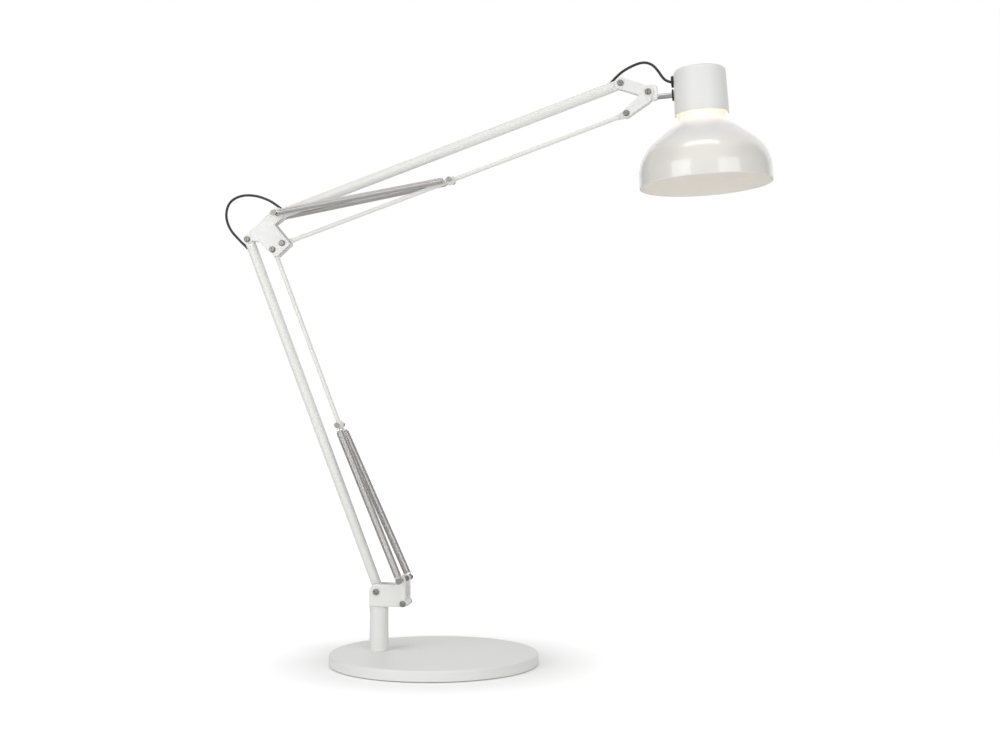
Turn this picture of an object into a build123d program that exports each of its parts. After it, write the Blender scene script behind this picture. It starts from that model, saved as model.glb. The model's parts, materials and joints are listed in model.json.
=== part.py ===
from build123d import *
import os
from math import cos, pi, radians, sin, sqrt, tan

# A spring-balanced desk lamp: a heavy round base with a short post, a swivelling sheet bracket, two arms that
# are each a parallelogram of one tube and one rod, a pair of tension springs beside each rod, and a head with
# a bell-shaped glass shade. Sizes are in millimetres. X runs from the post towards the head, Z is up, and the
# arms lie in the plane Y = 0. The origin is the centre of the underside of the base.

# Clearances
FIT = 0.05          # radial, a pin in its hole
SLIP = 0.1          # axial, between parts that turn on each other
REST_GAP = 0.3      # between parts that only pass close by

# Base and post
BASE_D = 240.0
BASE_T = 12.0
BASE_EDGE_R = 2.0
BASE_FOOT_CHAMFER = 0.5
PAD_D = 232.0
PAD_T = 1.0
POST_X = -66.0
POST_D = 22.0
POST_BORE = 18.0
POST_LEN = 50.0
FOOT_PLUG_H = 16.0
POST_SCREW_D = 8.0
POST_SCREW_REACH = 14.0
POST_SCREW_HEAD_D = 13.0
POST_SCREW_HEAD_H = 4.4
POST_SCREW_SOCKET = 5.0
POST_SCREW_SOCKET_DEPTH = 2.6
COUNTERBORE_D = 14.5
COUNTERBORE_DEPTH = 5.0

# Swivel of the bracket in the post
SWIVEL_D = 10.0
BUSH_FLANGE_T = 1.2
BUSH_SLEEVE_LEN = 25.0
SWIVEL_HEAD_D = 14.0
SWIVEL_HEAD_H = 2.5
SWIVEL_TAIL = 5.0           # pin left below its clip
CLIP_GROOVE_D = 8.8
CLIP_GROOVE_W = 1.3
CLIP_T = 1.1
CLIP_D = 15.0
CLIP_MOUTH = 6.0

# Sheet bracket: a floor on the post and two side walls
SHEET_T = 1.5
BRACKET_W = 24.0
BRACKET_BEND_R = 2.0
PIVOT_HEIGHT = 17.2         # arm pivot above the underside of the floor
BRACKET_LOBE_R = 9.0
BRACKET_FLOOR_END = 24.0    # floor ahead of the arm pivot
BRACKET_CORNER_R = 5.0
EAR_W = 11.7
EAR_ROOT_R = 2.0
EAR_TOP = 5.0               # ear above the spring stud
STUD_EDGE = 4.6             # stud behind the front edge of the ear

# Pivots of the two parallelograms, from the arm's pivot to the rod's pivot
LOWER_CRANK = Vector(32.0, 0, -13.0)
UPPER_CRANK = Vector(6.5, 0, -34.6)
ELBOW_SPAN = Vector(37.5, 0, 29.0)      # lower arm's top pivot to upper arm's back pivot
STUD_FROM_ARM_PIVOT = Vector(30.5, 0, 14.1)

# Arms
LOWER_LEN = 444.0
LOWER_ANGLE = 111.5
UPPER_LEN = 431.0
UPPER_ANGLE = 18.42
TUBE_D = 12.0
TUBE_WALL = 1.0
TUBE_SETBACK = 10.5         # pivot to the end of the tube
TUBE_PLUG_LEN = 20.0
ELBOW_TONGUE_T = 9.4
KNUCKLE_TONGUE_T = 6.4
ROD_D = 5.0
ROD_EYE_D = 9.0
ROD_EYE_T = 3.0
ROD_EYE_LEN = 12.0
ROD_SHANK_START = 8.0

# Plates of the elbow and of the knuckle
PLATE_T = 1.5
ELBOW_GAP = 10.0            # between the inner faces
ELBOW_ARM_LOBE_R = 5.0
ELBOW_TOP_LOBE_R = 7.8
ELBOW_NOTCH_R = 1.5
KNUCKLE_GAP = 7.0
KNUCKLE_ARM_LOBE_R = 6.6
KNUCKLE_HEAD_LOBE_R = 6.2
KNUCKLE_ROD_LOBE_R = 4.6
KNUCKLE_HEEL_R = 4.6
KNUCKLE_HEEL = Vector(-1.3, 0, -7.9)    # centre of the lower corner, from the head's pivot
HEAD_PIVOT_FROM_ARM = Vector(31.2, 0, -11.4)

# Pivot screws, nuts and spacers
PIVOT_D = 4.0
PIVOT_HEAD_D = 7.0
PIVOT_HEAD_H = 2.5
PIVOT_HEAD_DOME_R = 1.2
SLOT_W = 1.0
SLOT_DEPTH = 1.0
NUT_AF = 7.0
NUT_H = 3.2
THREAD_SHOWS = 1.0
SPACER_D = 8.0

# Springs, and the pins that they hook on
LOWER_SPRING_D = 9.0
LOWER_SPRING_WIRE = 1.2
UPPER_SPRING_D = 7.4
UPPER_SPRING_WIRE = 1.1
SPRING_TURNS = 23.5
HOOK_PLAY = 0.25
HOOK_TIP = 2.5
HOOK_LEAD = 3.0             # rise of the wire from the hook to its first turn
COIL_END_GAP = 7.0          # last turn short of the rod's pin
COIL_END_RISE = 0.1         # slope of the wire where the last turn ends
SHANK_LEN = 16.0            # swivel hook's shank, from the pin
SHANK_BEND_START = 2.2
SHANK_BEND_END = 5.2
SHANK_BEND_R = 1.6
SHANK_BEAD_R = 1.7
SHANK_BEAD_T = 1.2
GAUGE_POINTS = 900
SPRING_PIN_HEAD_D = 7.0
SPRING_PIN_HEAD_T = 1.5
LOWER_STUD_Y = 20.0
LOWER_STUD_RIVET_T = 0.8
LOWER_STUD_RIVET_D = 6.0
UPPER_PIN_Y = 17.0
HOOK_TO_HEAD = 1.6
ROD_PIN_D = 3.0
ROD_PIN_Y = 9.0
ROD_PIN_HEAD_D = 6.0
ROD_PIN_HEAD_T = 1.2
ROD_PIN_HOOK_TO_HEAD = 1.0
ROD_COLLAR_D = 9.0
ROD_COLLAR_LEN = 8.0
LOWER_ROD_PIN_AT = 220.7
UPPER_ROD_PIN_AT = 215.5

# Head: its frame is the axis of the neck, tilted a little, with its origin level with the stud
HEAD_TILT = 3.2
HEAD_REACH = 57.9           # head pivot to the axis of the neck
STUD_DROP = 5.8             # stud below the head pivot
HINGE_BLOCK_T = 6.4
HINGE_BLOCK_BACK = 6.0
HINGE_BLOCK_FRONT = 10.0
HINGE_BLOCK_TOP = 8.0
HINGE_BLOCK_FOOT = 3.7      # below the stud's axis
HINGE_BLOCK_R = 3.0
STUD_D = 6.0
STUD_SEAT = 6.0             # stud inside the block
STUD_TIP = -21.2
WASHER_D = 13.0
WASHER_T = 1.5
STUD_NUT_AF = 10.0
STUD_NUT_H = 3.6
NECK_TOP = 26.3
NECK_FOOT = -25.0
NECK_TOP_R = 29.1
NECK_FOOT_R = 30.3
NECK_WALL = 1.2
NECK_EDGE_R = 5.0
GROMMET_AT = 15.1
GROMMET_D = 13.0
GROMMET_PROUD = 2.5
GROMMET_EDGE_R = 0.8
GROMMET_STEM_D = 8.0
STRAP_W = 12.0
STRAP_T = 1.5
STRAP_FACE = -27.4
STRAP_FOOT = -7.0
STRAP_SEAT = 18.5           # underside of the strap's level leg
STRAP_REACH = 9.0
NIPPLE_D = 10.0
NIPPLE_BORE = 7.0
NIPPLE_FOOT = 7.0
NIPPLE_TOP = 24.0
NIPPLE_NUT_AF = 14.0
NIPPLE_NUT_H = 3.0
HOLDER_D = 39.6
HOLDER_TOP = 12.0
HOLDER_FOOT_DROP = 10.0     # below the seat of the glass
HOLDER_FLANGE_D = 51.0
HOLDER_FLANGE_T = 2.0
SOCKET_D = 27.2
SOCKET_DEPTH = 25.0
RING_D = 50.2
RING_H = 5.0
CAP_D = 26.4
CAP_LEN = 22.0
CAP_TIP_D = 9.0
CAP_TIP_H = 2.0
BULB_D = 45.0
BULB_NECK_D = 24.0
BULB_REACH = 59.0           # lowest point of the bulb below the seat of the glass
GLASS_SEAT = -18.9          # where the holder's flange bears on the glass, inside the neck
GLASS_TOP_GAP = 0.3
GLASS_WALL = 3.0
GLASS_LIP_D = 41.0
GLASS_COLLAR_R = 28.6
GLASS_COLLAR_FOOT = 6.3
GLASS_THROAT_R = 17.0
GLASS_FLARE = 52.0          # slope of the flank, from the axis
GLASS_DOME_R = 45.0
GLASS_RIM_R = 74.2
GLASS_HEIGHT = 85.8
GLASS_EDGE_R = 1.2

# Cord
CORD_D = 3.0
CORNER_SHARE = 0.45         # of the shorter run that a corner's arc takes
CORD_WAY_D = 3.7            # bore that it passes through
CORD_WAY_MOUTH = 4.0        # how far the bore's tool reaches past the mouth
CORD_INNER_END = 40.0       # inner stretch ends this far from the foot of the lower arm
ELBOW_CORD = [(-232.0, 485.8), (-243.5, 496.5), (-254.5, 509.0), (-259.5, 525.0), (-255.0, 541.0),
              (-240.0, 548.5), (-222.0, 548.0), (-206.0, 542.5), (-196.0, 536.5), (-188.8, 531.0)]
ELBOW_CORD_CUTS = (4,)      # runs that a loop is cut in the middle of, so that each stretch follows one body
HEAD_CORD = [(207.4, 662.7), (215.5, 671.5), (228.5, 679.0), (242.5, 683.6), (253.0, 680.3),
             (259.6, 672.6), (264.6, 664.6), (269.2, 660.4), (273.9, 659.0)]
HEAD_CORD_CUTS = (2, 4)

# Places that follow from the sizes
BASE_TOP = PAD_T + BASE_T
POST_TOP = BASE_TOP + POST_LEN
BUSH_FOOT = POST_TOP - BUSH_SLEEVE_LEN
FLOOR_Z = POST_TOP + BUSH_FLANGE_T + SLIP
PIVOT_HOLE_D = PIVOT_D + 2 * FIT


def heading(angle):
    """Direction in the plane of the arms, at an angle above +X."""
    return Vector(cos(radians(angle)), 0, sin(radians(angle)))


def across_plane(point, angle, distance=0.0):
    """Plane square to a heading, at a distance along it from a point."""
    return Plane(origin=point + heading(angle) * distance, x_dir=(0, 1, 0), z_dir=heading(angle))


def side_plane(point, angle=0.0, y=0.0):
    """Plane that faces the front of the lamp, with its x along a heading and its origin on a pivot."""
    return Plane(origin=(point.X, y, point.Z), x_dir=heading(angle), z_dir=(0, -1, 0))


ARM_PIVOT = Vector(POST_X, 0, FLOOR_Z + PIVOT_HEIGHT)
ROD_PIVOT = ARM_PIVOT + LOWER_CRANK
STUD_PIVOT = ARM_PIVOT + STUD_FROM_ARM_PIVOT
ELBOW_ARM = ARM_PIVOT + heading(LOWER_ANGLE) * LOWER_LEN
ELBOW_ROD = ELBOW_ARM + LOWER_CRANK
ELBOW_TOP = ELBOW_ARM + ELBOW_SPAN
ELBOW_TOP_ROD = ELBOW_TOP + UPPER_CRANK
KNUCKLE_ARM = ELBOW_TOP + heading(UPPER_ANGLE) * UPPER_LEN
KNUCKLE_ROD = KNUCKLE_ARM + UPPER_CRANK
HEAD_PIVOT = KNUCKLE_ARM + HEAD_PIVOT_FROM_ARM
LOWER_ROD_PIN = ROD_PIVOT + heading(LOWER_ANGLE) * LOWER_ROD_PIN_AT
UPPER_ROD_PIN = ELBOW_TOP_ROD + heading(UPPER_ANGLE) * UPPER_ROD_PIN_AT
HEAD_UP = heading(HEAD_TILT + 90)
HEAD_ORIGIN = HEAD_PIVOT + heading(HEAD_TILT) * HEAD_REACH - HEAD_UP * STUD_DROP
HEAD_SIDE = side_plane(HEAD_ORIGIN, HEAD_TILT)
HEAD_AXIS = Axis(HEAD_ORIGIN, HEAD_UP)
HEAD_FRAME = Plane(origin=HEAD_ORIGIN, x_dir=heading(HEAD_TILT), z_dir=HEAD_UP)
BRACKET_HALF = BRACKET_W / 2
ELBOW_HALF = ELBOW_GAP / 2 + PLATE_T
KNUCKLE_HALF = KNUCKLE_GAP / 2 + PLATE_T

pieces = {}


def gather(parts):
    """One node of several separate solids."""
    with BuildPart() as group:
        for part in parts:
            add(part)
    return group.part


# ---------------------------------------------------------------------------------------------------------
# Cord: tubes along straight runs that are joined by tangent arcs
# ---------------------------------------------------------------------------------------------------------

def corner_radii(points):
    """Radius at each corner: a share of the shorter run, over the tangent of half the turn."""
    runs = [end - start for start, end in zip(points, points[1:])]
    return [CORNER_SHARE * min(before.length, after.length) / tan(radians(before.get_angle(after) / 2))
            for before, after in zip(runs, runs[1:])]


def cut_loop(route, cuts):
    """Stretches of a loop, cut in the middle of some runs; each keeps the radii of the whole loop."""
    points = [Vector(x, 0, z) for x, z in route]
    radii = corner_radii(points)
    stretches, so_far, so_far_radii = [], [points[0]], []
    for run, point in enumerate(points[1:]):
        if run in cuts:
            middle = (points[run] + point) * 0.5
            stretches.append(([*so_far, middle], so_far_radii))
            so_far, so_far_radii = [middle], []
        so_far.append(point)
        if run < len(radii):
            so_far_radii.append(radii[run])
    stretches.append((so_far, so_far_radii))
    return stretches


def tube_along(points, diameter, radii):
    """Round tube along a route of points, with a radius for each corner."""
    with BuildPart() as tube:
        with BuildLine() as line:
            FilletPolyline(*points, radius=radii)
        route = line.wires()[0]
        with BuildSketch(route ^ 0):
            Circle(diameter / 2)
        sweep(path=route)
    return tube.part


def cord_stretch(name, points, radii=None):
    """A stretch of cord; prints its tightest bend and compares its volume with section times length."""
    runs = [end - start for start, end in zip(points, points[1:])]
    radii = radii or corner_radii(points)
    stretch = tube_along(points, CORD_D, radii)
    length = sum(run.length for run in runs)
    for radius, before, after in zip(radii, runs, runs[1:]):
        turn = before.get_angle(after)
        length -= radius * (2 * tan(radians(turn / 2)) - radians(turn))
    ratio = stretch.volume / (length * pi * CORD_D**2 / 4)
    print(f"{name}: length {length:.1f}, least bend radius {min(radii):.1f}, volume ratio {ratio:.4f}")
    pieces[name] = stretch


def inner_corner(mouth, neighbour, pivot, angle):
    """Where the line of the cord's last run, carried on inwards, meets the axis of the arm."""
    inwards = (mouth - neighbour).normalized()
    off_axis = (mouth - pivot).dot(heading(angle + 90))
    return mouth + inwards * (off_axis / -inwards.dot(heading(angle + 90)))


def bore_tool(mouth, neighbour, corner, inner_end):
    """Tool for the bore that the cord leaves an arm by: it bends as the cord does and reaches past the mouth."""
    outer = mouth + (neighbour - mouth).normalized() * CORD_WAY_MOUTH
    turn = (corner - mouth).get_angle(inner_end - corner)
    radius = CORNER_SHARE * (corner - mouth).length / tan(radians(turn / 2))
    return tube_along([outer, corner, inner_end], CORD_WAY_D, [radius])


elbow_stretches = cut_loop(ELBOW_CORD, ELBOW_CORD_CUTS)
head_stretches = cut_loop(HEAD_CORD, HEAD_CORD_CUTS)
for name, (points, radii) in zip(
        ("elbow_cord_lower", "elbow_cord_upper", "head_cord_rear", "head_cord_mid", "head_cord_front"),
        elbow_stretches + head_stretches):
    cord_stretch(name, points, radii)

elbow_points, _ = cut_loop(ELBOW_CORD, ())[0]
head_points, _ = cut_loop(HEAD_CORD, ())[0]
lower_corner = inner_corner(elbow_points[0], elbow_points[1], ELBOW_ARM, LOWER_ANGLE)
upper_back_corner = inner_corner(elbow_points[-1], elbow_points[-2], ELBOW_TOP, UPPER_ANGLE)
upper_front_corner = inner_corner(head_points[0], head_points[1], KNUCKLE_ARM, UPPER_ANGLE)
plug_end = TUBE_SETBACK + TUBE_PLUG_LEN + SLIP
elbow_lower_way = bore_tool(elbow_points[0], elbow_points[1], lower_corner,
                            ELBOW_ARM - heading(LOWER_ANGLE) * plug_end)
elbow_upper_way = bore_tool(elbow_points[-1], elbow_points[-2], upper_back_corner,
                            ELBOW_TOP + heading(UPPER_ANGLE) * plug_end)
knuckle_way = bore_tool(head_points[0], head_points[1], upper_front_corner,
                        KNUCKLE_ARM - heading(UPPER_ANGLE) * plug_end)
cord_stretch("lower_arm_cord", [ARM_PIVOT + heading(LOWER_ANGLE) * CORD_INNER_END, lower_corner, elbow_points[0]])
cord_stretch("upper_arm_cord", [elbow_points[-1], upper_back_corner, upper_front_corner, head_points[0]])

# ---------------------------------------------------------------------------------------------------------
# Base and post
# ---------------------------------------------------------------------------------------------------------
POST_FOOT = Plane((POST_X, 0, BASE_TOP))

with BuildPart() as base_pad:
    with BuildSketch():
        Circle(PAD_D / 2)
    extrude(amount=PAD_T)
pieces["base_pad"] = base_pad.part

with BuildPart() as base_plate:
    with BuildSketch(Plane.XY.offset(PAD_T)):
        Circle(BASE_D / 2)
    extrude(amount=BASE_T)
    fillet(base_plate.edges().group_by(Axis.Z)[-1], radius=BASE_EDGE_R)
    chamfer(base_plate.edges().group_by(Axis.Z)[0], length=BASE_FOOT_CHAMFER)
    with Locations(Plane((POST_X, 0, PAD_T), z_dir=(0, 0, -1))):
        CounterBoreHole(POST_SCREW_D / 2 + FIT, COUNTERBORE_D / 2, COUNTERBORE_DEPTH)
pieces["base_plate"] = base_plate.part

with BuildPart() as post_tube:
    with BuildSketch(POST_FOOT):
        Circle(POST_D / 2)
        Circle(POST_BORE / 2, mode=Mode.SUBTRACT)
    extrude(amount=POST_LEN)
pieces["post_tube"] = post_tube.part

with BuildPart() as post_foot_plug:
    with BuildSketch(POST_FOOT):
        Circle(POST_BORE / 2 - FIT)
        Circle(POST_SCREW_D / 2 + FIT, mode=Mode.SUBTRACT)
    extrude(amount=FOOT_PLUG_H)
pieces["post_foot_plug"] = post_foot_plug.part

with BuildPart() as post_screw:
    with BuildSketch(Plane((POST_X, 0, PAD_T + COUNTERBORE_DEPTH))):
        Circle(POST_SCREW_HEAD_D / 2)
    extrude(amount=-POST_SCREW_HEAD_H)
    with BuildSketch(Plane((POST_X, 0, PAD_T + COUNTERBORE_DEPTH))):
        Circle(POST_SCREW_D / 2)
    extrude(amount=BASE_T - COUNTERBORE_DEPTH + POST_SCREW_REACH)
    with BuildSketch(Plane((POST_X, 0, PAD_T + COUNTERBORE_DEPTH - POST_SCREW_HEAD_H))):
        RegularPolygon(radius=POST_SCREW_SOCKET / 2, side_count=6, major_radius=False)
    extrude(amount=POST_SCREW_SOCKET_DEPTH, mode=Mode.SUBTRACT)
pieces["post_screw"] = post_screw.part

with BuildPart() as post_bush:
    with BuildSketch(Plane((POST_X, 0, POST_TOP))):
        Circle(POST_D / 2)
    extrude(amount=BUSH_FLANGE_T)
    with BuildSketch(Plane((POST_X, 0, BUSH_FOOT))):
        Circle(POST_BORE / 2 - FIT)
    extrude(amount=BUSH_SLEEVE_LEN)
    with BuildSketch(Plane((POST_X, 0, BUSH_FOOT))):
        Circle(SWIVEL_D / 2 + FIT)
    extrude(amount=BUSH_SLEEVE_LEN + BUSH_FLANGE_T, mode=Mode.SUBTRACT)
pieces["post_bush"] = post_bush.part

# ---------------------------------------------------------------------------------------------------------
# Bracket and its swivel
# ---------------------------------------------------------------------------------------------------------
GROOVE_TOP = BUSH_FOOT - SLIP
GROOVE_FOOT = GROOVE_TOP - CLIP_GROOVE_W
FLOOR_TOP = FLOOR_Z + SHEET_T

with BuildPart() as swivel_pin:
    with BuildSketch(Plane((POST_X, 0, GROOVE_FOOT - SWIVEL_TAIL))):
        Circle(SWIVEL_D / 2)
    extrude(amount=FLOOR_TOP - GROOVE_FOOT + SWIVEL_TAIL)
    with BuildSketch(Plane((POST_X, 0, FLOOR_TOP))):
        Circle(SWIVEL_HEAD_D / 2)
    extrude(amount=SWIVEL_HEAD_H)
    fillet(swivel_pin.edges().group_by(Axis.Z)[-1], radius=SWIVEL_HEAD_H / 2)
    with BuildSketch(Plane((POST_X, 0, GROOVE_FOOT))):
        Circle(SWIVEL_D / 2 + FIT)
        Circle(CLIP_GROOVE_D / 2, mode=Mode.SUBTRACT)
    extrude(amount=CLIP_GROOVE_W, mode=Mode.SUBTRACT)
pieces["swivel_pin"] = swivel_pin.part

with BuildPart() as swivel_circlip:
    with BuildSketch(Plane((POST_X, 0, GROOVE_TOP - SLIP - CLIP_T))):
        Circle(CLIP_D / 2)
        Circle(CLIP_GROOVE_D / 2 + FIT, mode=Mode.SUBTRACT)
        with Locations((0, CLIP_D / 2)):
            Rectangle(CLIP_MOUTH, CLIP_D, mode=Mode.SUBTRACT)
    extrude(amount=CLIP_T)
pieces["swivel_circlip"] = swivel_circlip.part

bracket_back = ARM_PIVOT.X - BRACKET_LOBE_R
bracket_front = STUD_PIVOT.X + STUD_EDGE
wall_top = ARM_PIVOT.Z + BRACKET_LOBE_R
ear_top = STUD_PIVOT.Z + EAR_TOP
wall_outline = [
    (bracket_back, FLOOR_Z), (bracket_back, wall_top), (bracket_front - EAR_W, wall_top),
    (bracket_front - EAR_W, ear_top), (bracket_front, ear_top), (bracket_front, FLOOR_Z)]
wall_radii = [0, BRACKET_LOBE_R, EAR_ROOT_R, EAR_TOP, STUD_EDGE, BRACKET_CORNER_R]

with BuildPart() as bracket_channel:
    with BuildSketch(side_plane(Vector(0, 0, 0), y=BRACKET_HALF)):
        with BuildLine():
            FilletPolyline(*wall_outline, radius=wall_radii, close=True)
        make_face()
    extrude(amount=BRACKET_W)
    fillet(bracket_channel.edges().filter_by(Axis.X).group_by(Axis.Z)[0], radius=BRACKET_BEND_R)
    # space between the walls, above the floor and all the way down ahead of it
    floor_end = ARM_PIVOT.X + BRACKET_FLOOR_END
    with BuildSketch(side_plane(Vector(0, 0, 0), y=BRACKET_HALF - SHEET_T)):
        with BuildLine():
            Polyline((bracket_back - 1, FLOOR_TOP), (floor_end, FLOOR_TOP), (floor_end, FLOOR_Z - 1),
                     (bracket_front + 1, FLOOR_Z - 1), (bracket_front + 1, ear_top + 1),
                     (bracket_back - 1, ear_top + 1), close=True)
        make_face()
    extrude(amount=BRACKET_W - 2 * SHEET_T, mode=Mode.SUBTRACT)
    with BuildSketch(side_plane(Vector(0, 0, 0), y=BRACKET_HALF)):
        with Locations(*[(p.X, p.Z) for p in (ARM_PIVOT, ROD_PIVOT, STUD_PIVOT)]):
            Circle(PIVOT_HOLE_D / 2)
    extrude(amount=BRACKET_W, mode=Mode.SUBTRACT)
    with BuildSketch(Plane((POST_X, 0, FLOOR_Z))):
        Circle(SWIVEL_D / 2 + FIT)
    extrude(amount=SHEET_T, mode=Mode.SUBTRACT)
pieces["bracket_channel"] = bracket_channel.part


def disc(pivot, diameter, y_from, y_to, bore=0.0):
    """Disc or ring round a pivot, between two places along Y."""
    with BuildPart() as body:
        with BuildSketch(side_plane(pivot, y=max(y_from, y_to))):
            Circle(diameter / 2)
            if bore:
                Circle(bore / 2, mode=Mode.SUBTRACT)
        extrude(amount=abs(y_to - y_from))
    return body.part


def pivot_screw(pivot, half_width):
    """Slotted screw from the front through a pair of plates."""
    with BuildPart() as screw:
        with BuildSketch(side_plane(pivot, y=-half_width)):
            Circle(PIVOT_HEAD_D / 2)
        extrude(amount=PIVOT_HEAD_H)
        fillet(screw.edges().filter_by(GeomType.CIRCLE).sort_by(Axis.Y)[0], radius=PIVOT_HEAD_DOME_R)
        with BuildSketch(side_plane(pivot, y=-half_width - PIVOT_HEAD_H)):
            Rectangle(PIVOT_HEAD_D, SLOT_W)
        extrude(amount=-SLOT_DEPTH, mode=Mode.SUBTRACT)
        with BuildSketch(side_plane(pivot, y=-half_width)):
            Circle(PIVOT_D / 2)
        extrude(amount=-(2 * half_width + NUT_H + THREAD_SHOWS))
    return screw.part


def pivot_nut(pivot, half_width):
    """Hexagon nut at the back of a pair of plates."""
    with BuildPart() as nut:
        with BuildSketch(side_plane(pivot, y=half_width)):
            RegularPolygon(radius=NUT_AF / 2, side_count=6, major_radius=False)
            Circle(PIVOT_HOLE_D / 2, mode=Mode.SUBTRACT)
        extrude(amount=-NUT_H)
    return nut.part


def spacer_pair(pivot, inner_half, outer_half):
    """Two tube spacers that centre a tongue or an eye between plates."""
    return [disc(pivot, SPACER_D, side * (inner_half + SLIP), side * (outer_half - SLIP), PIVOT_HOLE_D)
            for side in (-1, 1)]


pieces["bracket_screws"] = gather(pivot_screw(p, BRACKET_HALF) for p in (ARM_PIVOT, ROD_PIVOT))
pieces["bracket_nuts"] = gather(pivot_nut(p, BRACKET_HALF) for p in (ARM_PIVOT, ROD_PIVOT))
wall_inside = BRACKET_HALF - SHEET_T
pieces["bracket_spacers"] = gather(
    spacer_pair(ARM_PIVOT, ELBOW_TONGUE_T / 2, wall_inside) + spacer_pair(ROD_PIVOT, ROD_EYE_T / 2, wall_inside))


def lower_stud(side):
    """Stub riveted in an ear, with a head that keeps the spring's hook on it."""
    head_foot = LOWER_STUD_Y + LOWER_SPRING_WIRE / 2 + HOOK_TO_HEAD + PIVOT_D / 4
    rivet_foot = wall_inside - LOWER_STUD_RIVET_T
    with BuildPart() as stud:
        add(disc(STUD_PIVOT, PIVOT_D, side * rivet_foot, side * (head_foot + SPRING_PIN_HEAD_T / 2)))
        add(disc(STUD_PIVOT, LOWER_STUD_RIVET_D, side * rivet_foot, side * wall_inside))
        add(disc(STUD_PIVOT, SPRING_PIN_HEAD_D, side * head_foot, side * (head_foot + SPRING_PIN_HEAD_T)))
    return stud.part


pieces["lower_spring_studs"] = gather(lower_stud(side) for side in (-1, 1))

# ---------------------------------------------------------------------------------------------------------
# Arms: a tube with a moulded fitting at each end, and a rod with flattened eyes
# ---------------------------------------------------------------------------------------------------------

def arm_fitting(pivot, angle, tongue_t, way=None):
    """End fitting: a flat tongue round the pivot, and a plug in the tube that leaves the pivot at an angle."""
    with BuildPart() as fitting:
        with BuildSketch(across_plane(pivot, angle, -TUBE_D / 2)):
            Circle(TUBE_D / 2 - REST_GAP / 2)
        extrude(amount=TUBE_D / 2 + TUBE_SETBACK)
        with BuildSketch(side_plane(pivot, angle, y=TUBE_D)):
            Circle(TUBE_D / 2)
            with Locations((TUBE_SETBACK / 2, 0)):
                Rectangle(TUBE_SETBACK, TUBE_D)
        extrude(amount=2 * TUBE_D, mode=Mode.INTERSECT)
        with BuildSketch(side_plane(pivot, angle, y=TUBE_D)):
            Rectangle(2 * (TUBE_SETBACK - SHEET_T), 2 * TUBE_D)
        extrude(amount=TUBE_D - tongue_t / 2, mode=Mode.SUBTRACT)
        with BuildSketch(side_plane(pivot, angle, y=-tongue_t / 2)):
            Rectangle(2 * (TUBE_SETBACK - SHEET_T), 2 * TUBE_D)
        extrude(amount=TUBE_D, mode=Mode.SUBTRACT)
        with BuildSketch(across_plane(pivot, angle, TUBE_SETBACK)):
            Circle(TUBE_D / 2 - TUBE_WALL - FIT)
        extrude(amount=TUBE_PLUG_LEN)
        with BuildSketch(side_plane(pivot, angle, y=TUBE_D)):
            Circle(PIVOT_HOLE_D / 2)
        extrude(amount=2 * TUBE_D, mode=Mode.SUBTRACT)
        if way:
            add(way, mode=Mode.SUBTRACT)
    return fitting.part


def arm_tube(pivot, angle, length, ways):
    """Tube between the fittings of an arm, notched where the cord's bore cuts its ends."""
    with BuildPart() as tube:
        with BuildSketch(across_plane(pivot, angle, TUBE_SETBACK)):
            Circle(TUBE_D / 2)
            Circle(TUBE_D / 2 - TUBE_WALL, mode=Mode.SUBTRACT)
        extrude(amount=length - 2 * TUBE_SETBACK)
        for way in ways:
            add(way, mode=Mode.SUBTRACT)
    return tube.part


def arm_rod(pivot, angle, length, pin_at):
    """Rod with a flattened eye at each end and a cross hole for the pin of the springs."""
    with BuildPart() as rod:
        for end, way in ((pivot, angle), (pivot + heading(angle) * length, angle + 180)):
            with BuildSketch(side_plane(end, way, y=ROD_EYE_T / 2)):
                Circle(ROD_EYE_D / 2)
                with Locations((ROD_EYE_LEN, 0)):
                    Circle(ROD_D / 2)
                make_hull()
            extrude(amount=ROD_EYE_T)
        with BuildSketch(across_plane(pivot, angle, ROD_SHANK_START)):
            Circle(ROD_D / 2)
        extrude(amount=length - 2 * ROD_SHANK_START)
        with BuildSketch(side_plane(pivot, angle, y=ROD_D)):
            with Locations((0, 0), (length, 0)):
                Circle(PIVOT_HOLE_D / 2)
            with Locations((pin_at, 0)):
                Circle(ROD_PIN_D / 2 + FIT)
        extrude(amount=2 * ROD_D, mode=Mode.SUBTRACT)
    return rod.part


def rod_collar(pin, angle):
    """Collar on a rod, under the spring pin."""
    with BuildPart() as collar:
        with BuildSketch(across_plane(pin, angle, -ROD_COLLAR_LEN / 2)):
            Circle(ROD_COLLAR_D / 2)
            Circle(ROD_D / 2 + FIT, mode=Mode.SUBTRACT)
        extrude(amount=ROD_COLLAR_LEN)
        with BuildSketch(side_plane(pin, y=ROD_COLLAR_D)):
            Circle(ROD_PIN_D / 2 + FIT)
        extrude(amount=2 * ROD_COLLAR_D, mode=Mode.SUBTRACT)
    return collar.part


def headed_pin(pivot, diameter, head_d, head_t, head_foot):
    """Pin with a riveted head at each end."""
    with BuildPart() as pin:
        add(disc(pivot, diameter, -head_foot, head_foot))
        for side in (-1, 1):
            add(disc(pivot, head_d, side * head_foot, side * (head_foot + head_t)))
    return pin.part


rod_pin_head_foot = ROD_PIN_Y + ROD_PIN_HOOK_TO_HEAD
elbow_pin_head_foot = UPPER_PIN_Y + HOOK_TO_HEAD

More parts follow.
